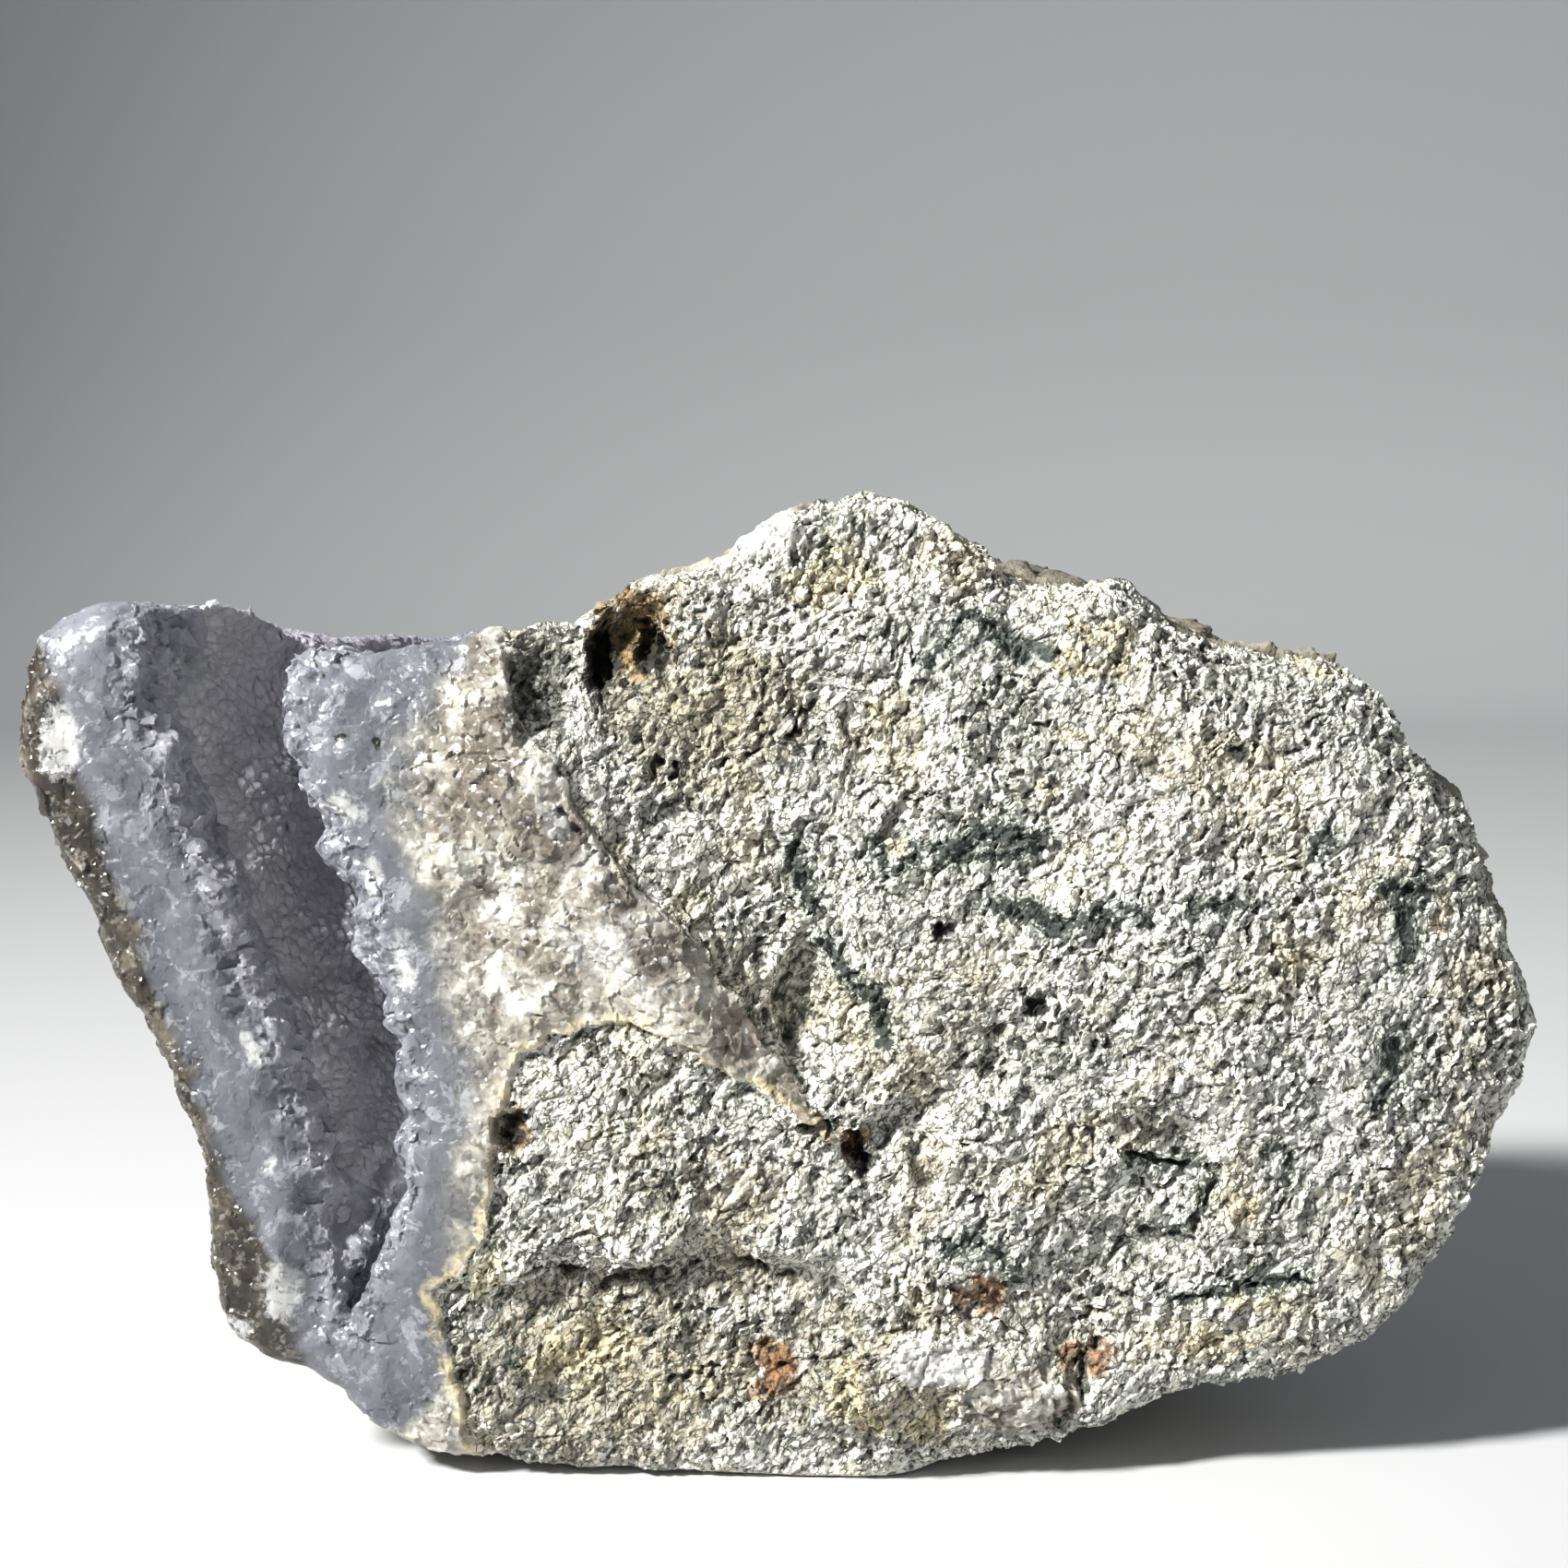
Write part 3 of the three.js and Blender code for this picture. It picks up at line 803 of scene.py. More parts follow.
@dataclass(frozen=True)
class HostRock(Finish):
    """Altered volcanic host rock, broken by hammer: dry, matt, flaky grains with dark joints, drawn partly as
    painted shade.

    It scatters nearly all of its light. Its index is feldspar's.

    Attributes:
        grain_mm: Length, depth and width of a grain, so that the face reads as granular.
        bend_mm: How far the rows of grains wander, so that they don't look ruled.
    """

    name: str = "broken_host_rock"
    roughness: float = 0.88
    bump_mm: float = 0.4
    grain_mm: tuple[float, float, float] = (0.85, 0.55, 0.44)
    bend_mm: float = 1.5

    def surface(self, n: Nodes) -> tuple[Socket, Node, Feed]:
        """Lays out the nodes that are the finish's own.

        Args:
            n: The nodes of its material.

        Returns:
            Its colour, the height of its bumps and how much of them is seen.
        """
        bend = {0: n.clouds(0.45, 1.0).outputs["Color"], 1: [self.bend_mm * MM] * 3, 2: n.place}
        bent = n.add("VectorMath", bend, operation="MULTIPLY_ADD").outputs[0]
        height, shade, space = n.facets(self.grain_mm, GRAIN_ANGLE, bent)
        colour = n.ramp(shade, (0.0, "#b8b7ac"), (0.25, "#d6d5ca"), (0.6, "#eeece3"), (1.0, "#fcfbf4"))
        # Broad cool and warm clouds, as the rock has altered
        cloud = n.clouds(0.13, 3.0)
        for ends, code in (((0.48, 0.64, 0.0, 0.45), "#b9beb2"), ((0.5, 0.36, 0.0, 0.6), "#f6e9cc")):
            colour = n.mixed(n.span(cloud, *ends), colour, code, "MULTIPLY")
        # Stains, with painted shade in hollows, a brown wash that is partly painted shade, and near-black
        # painted shade in holes
        colour = n.stained_and_shaded(
            colour, n.clouds(0.55, 4.0, 0.62),
            (Tint.UMBER, "#958a72", 0.66), (Tint.TAN, "#e6d5a8", 0.62), (Tint.RUST, "#8f6136", 0.88),
            (Tint.DARK, "#474a3f", 0.8), (Tint.CELADON, "#263532", 0.9), (Tint.WHITE, "#faf8f0", 0.9),
            (Tint.AMBER, "#8c7349", 0.95), (Tint.SOOT, "#1b140d", 0.96),
        )
        # Green seams, each a dark line in a pale green halo
        rough_line = n.clouds(1.5, 4.0)
        seam = n.figure("ADD", n.attribute("seam"), n.figure("MULTIPLY_ADD", rough_line, 2.8, -1.5))
        colour = n.mixed(n.span(seam, 0.2, 0.9, 0.45, 0.0), colour, "#a3b3a4")
        colour = n.mixed(n.span(seam, -0.15, 0.05, 0.92, 0.0), colour, "#182322")
        # Dark lines along some grain edges, partly open joints and partly painted shade in the crevices; dark
        # flecks, which are painted shadows under the flakes
        joint = n.add("TexVoronoi", {"Vector": space, "Scale": 1.0}, feature="DISTANCE_TO_EDGE")
        open_share = n.span(rough_line, 0.42, 0.54)
        joint_and_shade = n.figure("MULTIPLY", n.span(joint, 0.03, 0.14, 0.92, 0.0), open_share)
        colour = n.mixed(joint_and_shade, colour, "#2c2f29")
        shadow_fleck = n.clouds(0.75, 2.0, place=space)
        colour = n.mixed(n.span(shadow_fleck, 0.35, 0.42, 0.8, 0.0), colour, "#33372f")
        # Painted shade: darker where the surface lies in a recess
        colour = n.shaded(colour, n.span(n.attribute("cavity_shade"), -0.28, 0.04, 0.2, 1.0))
        height = n.figure("MULTIPLY_ADD", height, 1.3, n.clouds(2.6, 3.0, 0.6))
        return colour, height, self.bump


@dataclass(frozen=True)
class Agate(Finish):
    """Agate vein: sugary white and smoky quartz that grades into blue-grey chalcedony at the cleft.

    Freshly broken quartz is waxy to glassy. Light goes some way in, so that edges glow and shadows
    are soft.

    Attributes:
        crystal_mm: Size of the sugar-like crystals, whose tilted faces catch the light.
        glint_mm: Size of the smallest crystals, some of which are painted white as glints.
        band_mm: Width of the chalcedony beside the cleft, read as a blue-grey border.
        fade_mm: Over how far it turns into quartz.
    """

    name: str = "quartz_and_chalcedony"
    roughness: float = 0.32
    ior: float = 1.544
    translucence: float = 0.3
    crystal_mm: float = 0.95
    glint_mm: float = 0.42
    band_mm: float = 4.4
    fade_mm: float = 2.4

    def surface(self, n: Nodes) -> tuple[Socket, Node, Feed]:
        """Lays out the nodes that are the finish's own.

        Args:
            n: The nodes of its material.

        Returns:
            Its colour, the height of its bumps and how much of them is seen.
        """
        height, shade, _ = n.facets((self.crystal_mm,) * 3)
        glint_height, glint, _ = n.facets((self.glint_mm,) * 3)
        cloud = n.clouds(0.34, 5.0, 0.6)
        frayed = n.clouds(0.9, 6.0, 0.7, 0.4)
        colour = n.ramp(cloud, (0.32, "#6b6257"), (0.44, "#968f83"), (0.56, "#bebaaf"), (0.7, "#e2e0d7"))
        colour = n.shaded(colour, n.span(shade, 0.0, 1.0, 0.8, 1.12))
        colour = n.stained_and_shaded(colour, cloud, (Tint.SMOKE, "#685f55", 0.88))
        # Chalcedony: beside the cleft, wider at the top, and all over the slab as far as its rind
        cleft, rind = n.attribute("cleft"), n.attribute("rind")
        drift = n.figure("MULTIPLY_ADD", cloud, 5.0, -2.5)
        level = n.add("SeparateXYZ", {"Vector": n.millimetres}).outputs["Z"]
        slab = n.span(rind, -15.0, -8.0)
        near = n.figure("ADD", n.figure("ADD", cleft, drift), n.span(level, 50.0, 64.0, 0.0, -3.4))
        near = n.figure("MULTIPLY_ADD", slab, -5.0, near)
        outer = self.band_mm + self.fade_mm
        blue = n.span(near, self.band_mm, outer, 1.0, 0.0, "SMOOTHSTEP")
        # Its greys are kept dark, partly as painted shade over the slab and bank
        chalcedony = n.ramp(
            n.span(near, 0.0, outer),
            (0.0, "#75767e"), (0.25, "#686a72"), (0.5, "#6a6c73"), (0.8, "#777879"), (1.0, "#828180"),
        )
        flake = n.span(n.clouds(0.4, 6.0, 0.66, 0.5), 0.57, 0.6, 0.0, 0.6)
        chalcedony = n.mixed(flake, chalcedony, "#abadb3")
        # On the slab it is painted darker low down and brighter at the top, as painted shade and light
        painted_slab = n.shaded(chalcedony, n.span(level, 56.0, 66.0, 0.84, 1.12))
        colour = n.mixed(blue, colour, n.mixed(slab, chalcedony, painted_slab))
        # The slab's smoky rind, with pale flakes; its browns are kept dark, partly as painted shade
        rind = n.span(n.figure("MULTIPLY_ADD", drift, 0.5, rind), -0.6, 0.6, 0.0, 0.97)
        brown = n.ramp(cloud, (0.36, "#17130e"), (0.46, "#29231b"), (0.56, "#3c362b"), (0.68, "#675f52"))
        brown = n.mixed(n.span(frayed, 0.55, 0.62, 0.0, 0.42), brown, "#a29d8f")
        colour = n.mixed(rind, colour, brown)
        # Stains, with painted shade in hollows and near-black painted shade in holes
        colour = n.stained_and_shaded(
            colour, frayed,
            (Tint.WHITE, "#cfcfcd", 0.75), (Tint.TAN, "#d3bd91", 0.6), (Tint.RUST, "#8c5f40", 0.7),
            (Tint.DARK, "#57493c", 0.6), (Tint.AMBER, "#86704a", 0.9), (Tint.SOOT, "#1b140d", 0.96),
        )
        # The cream-coloured seam on the lower contact, and the druse's tone on the cleft's wall
        cream = n.figure("MULTIPLY", n.attribute("cream"), n.span(frayed, 0.36, 0.64, 0.4, 1.35))
        colour = n.mixed(n.span(cream, 0.5, 1.0, 0.0, 0.75), colour, "#d8c79c")
        colour = n.mixed(n.attribute("lining"), colour, "#a9a7b0")
        # Painted glints: some small crystals turned near-white, fewer on chalcedony and rind
        few = n.span(n.figure("MAXIMUM", blue, rind), 0.0, 1.0, 0.5, 0.15)
        colour = n.mixed(n.span(glint, 0.95, 0.97, 0.0, few), colour, "#dfe1e5")
        # Painted shade: darker where the surface lies in a recess
        colour = n.shaded(colour, n.span(n.attribute("cavity_shade"), -0.3, 0.1, 0.62, 1.0))
        height = n.figure("MULTIPLY_ADD", glint_height, 0.55, height)
        rough_lip = n.span(cleft, 1.6, 3.0, 0.9, 0.0)
        strength = n.figure("MAXIMUM", n.span(blue, 0.0, 1.0, self.bump, 0.3), rough_lip)
        return colour, height, strength


@dataclass(frozen=True)
class Cortex(Finish):
    """Weathered outside of the chunk: a dull brown-grey skin with pores and pale patches near the break,
    darker in its hollows as painted shade and brighter on its ridges.

    It is nearly matt. Its index is feldspar's.

    Attributes:
        grain_mm: Size of the weathered grains, which read as a rough skin.
    """

    name: str = "weathered_cortex"
    roughness: float = 0.84
    bump_mm: float = 0.6
    grain_mm: float = 1.3

    def surface(self, n: Nodes) -> tuple[Socket, Node, Feed]:
        """Lays out the nodes that are the finish's own.

        Args:
            n: The nodes of its material.

        Returns:
            Its colour, the height of its bumps and how much of them is seen.
        """
        height, shade, _ = n.facets((self.grain_mm,) * 3)
        colour = n.ramp(n.clouds(0.1, 7.0, 0.65),
                        (0.32, "#5d574c"), (0.45, "#7f796b"), (0.57, "#a09b8b"), (0.72, "#bdb8a8"))
        colour = n.shaded(colour, n.span(shade, 0.0, 1.0, 0.84, 1.14))
        blotch = n.clouds(0.24, 5.0)
        colour = n.mixed(n.span(blotch, 0.56, 0.68, 0.0, 0.5), colour, "#93784f")
        colour = n.mixed(n.span(blotch, 0.44, 0.34, 0.0, 0.55), colour, "#4c4a42")
        colour = n.mixed(n.attribute(Tint.WHITE.value), colour, "#e6e3da")
        pore = n.clouds(0.8, 4.0, 0.7)
        colour = n.shaded(colour, n.span(pore, 0.3, 0.42, 0.45, 1.0))
        # Painted shade in the hollows; ridges brighter
        colour = n.shaded(colour, n.span(n.attribute("cavity_shade"), -0.25, 0.2, 0.5, 1.15))
        return colour, n.figure("MULTIPLY_ADD", height, 0.5, pore), self.bump


@dataclass(frozen=True)
class DruzyQuartz(Finish):
    """Druse of tiny quartz crystals, grown free into the cleft: lavender-grey and glassy.

    Natural crystal faces glint but carry fine growth lines. They let light through, so that the shade
    in the cleft stays soft.
    """

    name: str = "druzy_quartz"
    roughness: float = 0.36
    bump_mm: float = 0.25
    bump: float = 0.5
    ior: float = 1.544
    translucence: float = 0.3
    glow_mm: tuple[float, float, float] = (0.72, 0.72, 0.88)

    def surface(self, n: Nodes) -> tuple[Socket, Node, Feed]:
        """Lays out the nodes that are the finish's own.

        Args:
            n: The nodes of its material.

        Returns:
            Its colour, the height of its bumps and how much of them is seen.
        """
        deep = n.attribute("deep")
        # Brighter beside the lips, darker and more violet deeper in the cleft: the violet is the druse's own,
        # the darkening partly painted shade
        colour = n.ramp(n.span(deep, 0.0, 18.0),
                        (0.0, "#bcbbc0"), (0.3, "#aeacb4"), (0.65, "#9a97a2"), (1.0, "#817e8b"))
        colour = n.shaded(colour, n.span(n.attribute("tone"), 0.0, 1.0, 0.86, 1.12))
        pale = n.span(n.clouds(0.5, 4.0), 0.6, 0.66, 0.0, 0.4)
        pale = n.figure("MULTIPLY", pale, n.span(deep, 0.0, 7.0, 1.0, 0.15))
        colour = n.mixed(pale, colour, "#d5d7de")
        return colour, n.clouds(2.2, 2.0), self.bump


@dataclass
class Druse:
    """The crust of tiny quartz crystals on the walls of the cleft.

    Attributes:
        node: The CAD node that it stands for.
        stone: The CAD node of the stone behind it.
        voxel_mm: Spacing of the crust's own mesh.
        gap_mm: Seam between the crust and the stone in the CAD.
        thick_mm: Thickness of the crust in the CAD.
        root_mm: How far the crust reaches into the stone, so that no seam shows.
        feather_mm: Over how far the crystals grow to their full size, behind the lips.
        taper_mm: Over how far the crust grows to its full thickness, behind the lips.
        foot_mm: How far its closed lower end is drawn back into the cleft, so that the cleft ends as a crack.
        drift: How far the cleft's walls lead to the right for each millimetre of depth.
        spacing_mm: Least distance between two crystals.
        crystal_mm: Smallest and largest half width of a crystal.
        lean: How far the crystals lean out of line.
        depth: Height of a crystal, in half widths.
        tries: How many places for a crystal are tried on each square millimetre.
        seed: Start of the random draws.
        batch: How many crystals are made in one go, because the operator slows as its mesh grows.
    """

    node: Piece
    stone: Piece
    voxel_mm: float = 0.4
    gap_mm: float = 0.35
    thick_mm: float = 1.5
    root_mm: float = 0.7
    feather_mm: float = 2.6
    taper_mm: float = 9.0
    foot_mm: float = 7.0
    drift: float = 0.65
    spacing_mm: float = 0.66
    crystal_mm: tuple[float, float] = (0.5, 0.9)
    lean: float = 0.13
    depth: float = 0.44
    tries: float = 7.0
    seed: int = 7
    batch: int = 400

    def body(self, sunk: bool) -> tuple[Piece, Values]:
        """Makes the lumpy crust under the crystals.

        Args:
            sunk: Whether it dips under its own level and draws back at the lips, as the piece that lies on
                the stone's part of the crust does.

        Returns:
            The new object, and how far the crust has grown at each vertex, 0 on its rooted side.
        """
        piece = merged(self.node, "druse")
        softened(piece, 4, self.voxel_mm)
        spots = places(piece.data)
        wall = surface_of(opened(self.stone.data))
        feet = np.array([wall.find_nearest(spot)[0] for spot in (spots * MM).tolist()]) / MM
        off = spots - feet
        far = np.linalg.norm(off, axis=1)
        rings = self.ring_distance(spots)
        grown = smoothstep(0.5, self.feather_mm, rings + 0.9 * sampled(noise.noise, spots, 2.4, 9.5))
        level = (far - self.gap_mm) / self.thick_mm
        share = smoothstep(0.15, 0.85, level)
        lumps = 0.18 * sampled(noise.noise, spots, 1.5, 6.1) + 0.3 * sampled(noise.noise, spots, 3.4, 2.6)
        thin = 1 - smoothstep(-1.0, self.taper_mm, rings)
        reach = far - (1 - share) * (self.gap_mm + self.root_mm) + share * (lumps - 1.3 * thin)
        if sunk:
            reach += share * (0.8 * grown - 0.6)
        moved = feet + off / np.maximum(far, 0.05)[:, None] * reach[:, None]
        foot = (1 - smoothstep(19.0, 24.0, spots[:, 2])) * (1 - smoothstep(1.0, 7.0, rings))
        moved += np.outer(foot * smoothstep(0.0, 0.6, level) * self.foot_mm, (self.drift, 1.0, 0.0))
        if sunk:
            moved += np.outer(1 - smoothstep(0.2, 1.6, rings), (0.6, 0.9, 0.0))
        put(piece.data, moved)
        return piece, share * grown

    def ring_distance(self, spots: Rows) -> Values:
        """How far each spot lies from the crust's own broken edge at the lips.

        Args:
            spots: The places.

        Returns:
            One distance in millimetres for each.
        """
        shape = opened(self.node.data)
        inner = []
        for face in shape.faces:
            middle = np.array(face.calc_center_median())[None] / MM
            if face.normal.y > -0.6 or behind_rim(middle)[0] > 1:
                inner.append(face)
        bmesh.ops.delete(shape, geom=inner, context="FACES")
        return gaps_to(shape, spots)

    def sites(self, mesh: Mesh, grown: Values) -> list[tuple[Vector, Vector, float]]:
        """Scatters the crystals over the open side of the crust.

        Args:
            mesh: The crust under them.
            grown: How far the crust has grown at each vertex.

        Returns:
            The place, the outward direction and the growth of each crystal, in metres.
        """
        mesh.calc_loop_triangles()
        areas = np.array([face.area for face in mesh.loop_triangles])
        draws = np.random.default_rng(self.seed)
        tries = int(areas.sum() / MM ** 2 * self.tries)
        chosen = draws.choice(len(areas), tries, p=areas / areas.sum())
        weights = draws.dirichlet((1.0, 1.0, 1.0), tries)
        step = self.spacing_mm * MM
        taken: dict[tuple[int, ...], list[Vector]] = {}
        found = []
        for index, weight in zip(chosen.tolist(), weights.tolist()):
            face = mesh.loop_triangles[index]
            growth = min(grown[vertex] for vertex in face.vertices)
            if growth < 0.04:
                continue
            spot = sum((mesh.vertices[v].co * w for v, w in zip(face.vertices, weight)), Vector())
            cell = [math.floor(value / step) for value in spot]
            around = (taken.get(near, ()) for near in product(*((at - 1, at, at + 1) for at in cell)))
            if any((other - spot).length < step for other in chain.from_iterable(around)):
                continue
            taken.setdefault(tuple(cell), []).append(spot)
            found.append((spot, face.normal.copy(), growth))
        return found

    def crystals(self, sites: list[tuple[Vector, Vector, float]]) -> tuple[Mesh, Values]:
        """Joins all the crystals in one mesh.

        Args:
            sites: The place, the outward direction and the growth of each crystal, in metres.

        Returns:
            The mesh, and the tone of each of its vertices.
        """
        draws = np.random.default_rng(self.seed + 1)
        mesh, tones = bpy.data.meshes.new("crystals"), []
        for start in range(0, len(sites), self.batch):
            shape = bmesh.new()
            for place, facing, growth in sites[start:start + self.batch]:
                turn = (facing + Vector(draws.normal(0, self.lean, 3))).to_track_quat("Z", "Y").to_matrix()
                spin = Euler((0, 0, draws.uniform(0, math.tau))).to_matrix()
                size = draws.uniform(*self.crystal_mm) * MM * (0.55 + 0.45 * growth)
                long = draws.uniform(0.7, 1.1)
                root = place + facing * size * (0.25 * growth - 0.1)
                matrix = Matrix.LocRotScale(root, turn @ spin, (size, size, size * long))
                made = bmesh.ops.create_cone(shape, cap_ends=True, cap_tris=True, segments=6, radius1=1.0,
                                             radius2=0.0, depth=self.depth, matrix=matrix)
                tones.append(np.full(len(made["verts"]), draws.uniform()))
            joined(mesh, closed(shape, bpy.data.meshes.new("part")))
        return mesh, np.concatenate(tones)

    def build(self) -> list[Piece]:
        """Makes the druse.

        Returns:
            The finished piece, which rides on the frame.
        """
        piece, grown = self.body(sunk=True)
        mesh = piece.data
        crystals, tones = self.crystals(self.sites(mesh, grown))
        plain = len(mesh.vertices)
        joined(mesh, crystals)
        spots = places(mesh)
        lumps = 0.5 + 0.5 * sampled(noise.noise, spots[:plain], 1.1, 4.0)
        mark(mesh, "tone", np.concatenate((lumps, tones)))
        mark(mesh, "deep", self.ring_distance(spots))
        put(mesh, spots + shifted(spots))
        mesh.materials.append(DruzyQuartz().build())
        mesh.polygons.foreach_set("use_smooth", np.zeros(len(mesh.polygons), bool))
        mesh.update()
        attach(piece, "root")
        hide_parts("druzy_crust")
        return [piece]


@dataclass
class StoneSurface:
    """The whole chunk of stone: host rock, vein, slab and bank, in three closed meshes.

    Attributes:
        node: The CAD node that it stands for.
        druse: The crust in its cleft, from which the chalcedony is measured.
        voxel_mm: Spacing of the fine mesh before it is thinned.
        smoothing: Rounds of smoothing that take the CAD's facets away.
        old_smoothing: Rounds that take them away on the weathered outside.
        triangles: How many triangles each half of the broken face may have.
        back_triangles: How many triangles the weathered back may have.
        face_cut: How far behind the outline the back is parted from the face.
        side_cut: Where the face is parted in two, as x.
    """

    node: Piece
    druse: Druse
    voxel_mm: float = 0.235
    coarser: float = 2.6
    smoothing: int = 46
    old_smoothing: int = 160
    triangles: int = 194000
    back_triangles: int = 150000
    face_cut: float = 5.0
    side_cut: float = 9.0

    def fine_mesh(self) -> Piece:
        """Makes an even, smooth mesh of the CAD solid.

        Returns:
            The new object.
        """
        piece = merged(self.node, "stone_face_left")
        joined(piece.data, self.druse.body(sunk=False)[0].data)
        coarse = 1.0
        softened(piece, max(4, round(self.smoothing / coarse ** 2)), self.voxel_mm * coarse)
        mesh = piece.data
        spots = places(mesh)
        softer = smoothed(mesh, round(self.old_smoothing / coarse ** 2))
        old = smoothstep(2.0, 7.0, behind_rim(spots)) * smoothstep(0.2, 2.0, spots[:, 2])
        old *= smoothstep(1.5, 5.0, self.crust_distance(spots))
        put(mesh, spots + (softer - spots) * old[:, None])
        return piece

    def crust_distance(self, spots: Rows) -> Values:
        """How far each spot lies from the druse, in millimetres."""
        return gaps_to(opened(self.druse.node.data), spots)

    @staticmethod
    def contact_distance(spots: Rows) -> Values:
        """How far each spot lies from the agate's edge: host rock counts up, agate down."""
        near = wandered(spots, 1.9, 11.3, 0.55)
        return -CONTACT.distance(near) * CONTACT.side(near)

    @staticmethod
    def weathered(spots: Rows, cleft: Values, depth: Values) -> Values:
        """How much of each spot is weathered skin.

        Args:
            spots: The places.
            cleft: Distance of each from the druse.
            depth: How far each is behind the outline, before the hollows are sunk.

        Returns:
            0 on the fresh break and 1 on the old outside.
        """
        ragged = 1.3 * sampled(noise.noise, spots, 2.8, 3.4)
        return smoothstep(0.6, 1.6, depth + ragged) * smoothstep(2.0, 4.0, cleft + ragged)

    def beside_crust(self, spots: Rows, cleft: Values, reach: float, low: float, high: float) -> Values:
        """How far the crust's edge is, measured only near the crust.

        Args:
            spots: The places.
            cleft: Distance of each from the druse.
            reach: Distance from the druse up to which it is measured.
            low: Distance from the edge up to which it is 0.
            high: Distance from which it is 1.

        Returns:
            A share for each spot, 0 beyond the reach.
        """
        share = np.zeros(len(spots))
        beside = np.flatnonzero(cleft < reach)
        share[beside] = smoothstep(low, high, self.druse.ring_distance(spots[beside]))
        return share

    def relief(self, spots: Rows) -> Values:
        """How far the fine relief moves each spot outward.

        Args:
            spots: The places.

        Returns:
            One height in millimetres for each.
        """
        cleft = self.crust_distance(spots)
        skin = self.weathered(spots, cleft, behind_rim(spots))
        quartz = 1 - smoothstep(-0.25, 0.25, self.contact_distance(spots))
        grain = along_grain(spots)
        broad = sampled(noise.noise, spots, 4.6, 1.7)
        middle = sampled(noise.noise, grain, 1.4, 8.8)
        chips, ledges, joints = chipped(grain, 2.1, 4.4)
        flakes, steps, _ = chipped(grain, 0.62, 9.1)
        crystals, heads, _ = chipped(spots, 1.1, 2.2)
        slabs, walls, _ = chipped(spots, 8.5, 6.6)
        rough = 0.5 + 0.75 * smoothstep(-0.4, 0.35, sampled(noise.noise, spots, 5.5, 21.4))
        host = 0.34 * broad + 0.24 * middle + 0.22 * chips + 0.26 * ledges
        host += rough * (0.28 * flakes + 0.46 * steps) - 0.2 * np.exp(-joints / 0.05) - 0.2
        sugar = smoothstep(5.0, 9.0, cleft)
        lip = 1 - smoothstep(1.2, 3.2, cleft + 0.8 * middle)
        agate = 0.26 * broad + (0.05 + 0.2 * sugar + 0.2 * lip) * crystals
        agate += (0.03 + 0.1 * sugar + 0.25 * lip) * heads + 0.35 - 0.3 * lip
        old = 0.9 * broad + 0.3 * middle + 0.25 * chips + 0.9 * (slabs + walls) + 0.15 * flakes
        height = (host * (1 - quartz) + agate * quartz) * (1 - skin) + old * skin
        covered = self.beside_crust(spots, cleft, 1.2, 1.0, 3.0)
        return height * (1 - covered * (1 - smoothstep(0.4, 1.2, cleft)))

    @staticmethod
    def hollow_depth(spots: Rows) -> Values:
        """How deep the hollows and grooves are at each spot.

        Args:
            spots: The places.

        Returns:
            One depth in millimetres for each.
        """
        near = wandered(spots, 1.7, 7.9, 0.8) + sampled(noise.noise_vector, spots, 0.6, 1.9) * 0.45
        broken = smoothstep(-0.25, 0.15, sampled(noise.noise, spots, 1.6, 14.2))
        cuts = [hollow.filled(near, 0.55, 1.15) for hollow in HOLLOWS]
        for deep, half, groove in GROOVES:
            cut = deep * (1 - smoothstep(0.2 * half, 1.6 * half, groove.distance(near)))
            cuts.append(cut * (0.25 + 0.75 * broken))
        return np.max(cuts, axis=0) * (1 - smoothstep(1.0, 4.0, behind_rim(spots)))

    def stain_and_shade(self, mesh: Mesh) -> None:
        """Stores what the materials need to know of each vertex, and gives each face its ground.

        Args:
            mesh: A piece of the stone, which holds how deep it lay behind the outline.
        """
        spots = places(mesh)
        cleft = self.crust_distance(spots)
        contact = self.contact_distance(spots)
        depth = marked(mesh, "depth")
        skin = self.weathered(spots, cleft, depth)
        near = wandered(spots, 2.2, 17.0, 0.9)
        fresh = 1 - smoothstep(1.5, 5.0, depth)
        # Each tint's share; some tints are painted shade
        for tint, held in STAINS_AND_SHADE.items():
            full = np.max([patch.filled(near, 0.0, 1.5) for patch in held], axis=0) * fresh
            mark(mesh, tint.value, full)
            if tint is Tint.QUARTZ:
                contact = np.minimum(contact, (0.35 - full) * 4)
        seam = np.min([line.distance(0.5 * (spots + near)) - 0.75 * half for half, line in SEAMS], axis=0)
        mark(mesh, "seam", np.where(fresh > 0, np.minimum(seam, 3.0), 3.0))
        mark(mesh, "rind", RIND.distance(near) * RIND.side(near))
        mark(mesh, "cleft", cleft)
        lining = self.beside_crust(spots, cleft, 2.0, 0.5, 2.0)
        mark(mesh, "lining", lining * (1 - smoothstep(0.8, 2.0, cleft)))
        mark(mesh, "cream", (1 - smoothstep(0.0, 2.2, LOWER_CONTACT.distance(near))) * fresh)
        corners = np.empty(len(mesh.polygons) * 3, np.int32)
        mesh.polygons.foreach_get("vertices", corners)
        corners = corners.reshape(-1, 3)
        ground = np.where(contact[corners].mean(axis=1) < 0, Ground.AGATE.value, Ground.HOST.value)
        ground[skin[corners].mean(axis=1) > 0.5] = Ground.CORTEX.value
        mesh.polygons.foreach_set("material_index", ground.astype(np.int32))
        mesh.polygons.foreach_set("use_smooth", ground == Ground.CORTEX.value)
        mesh.update()

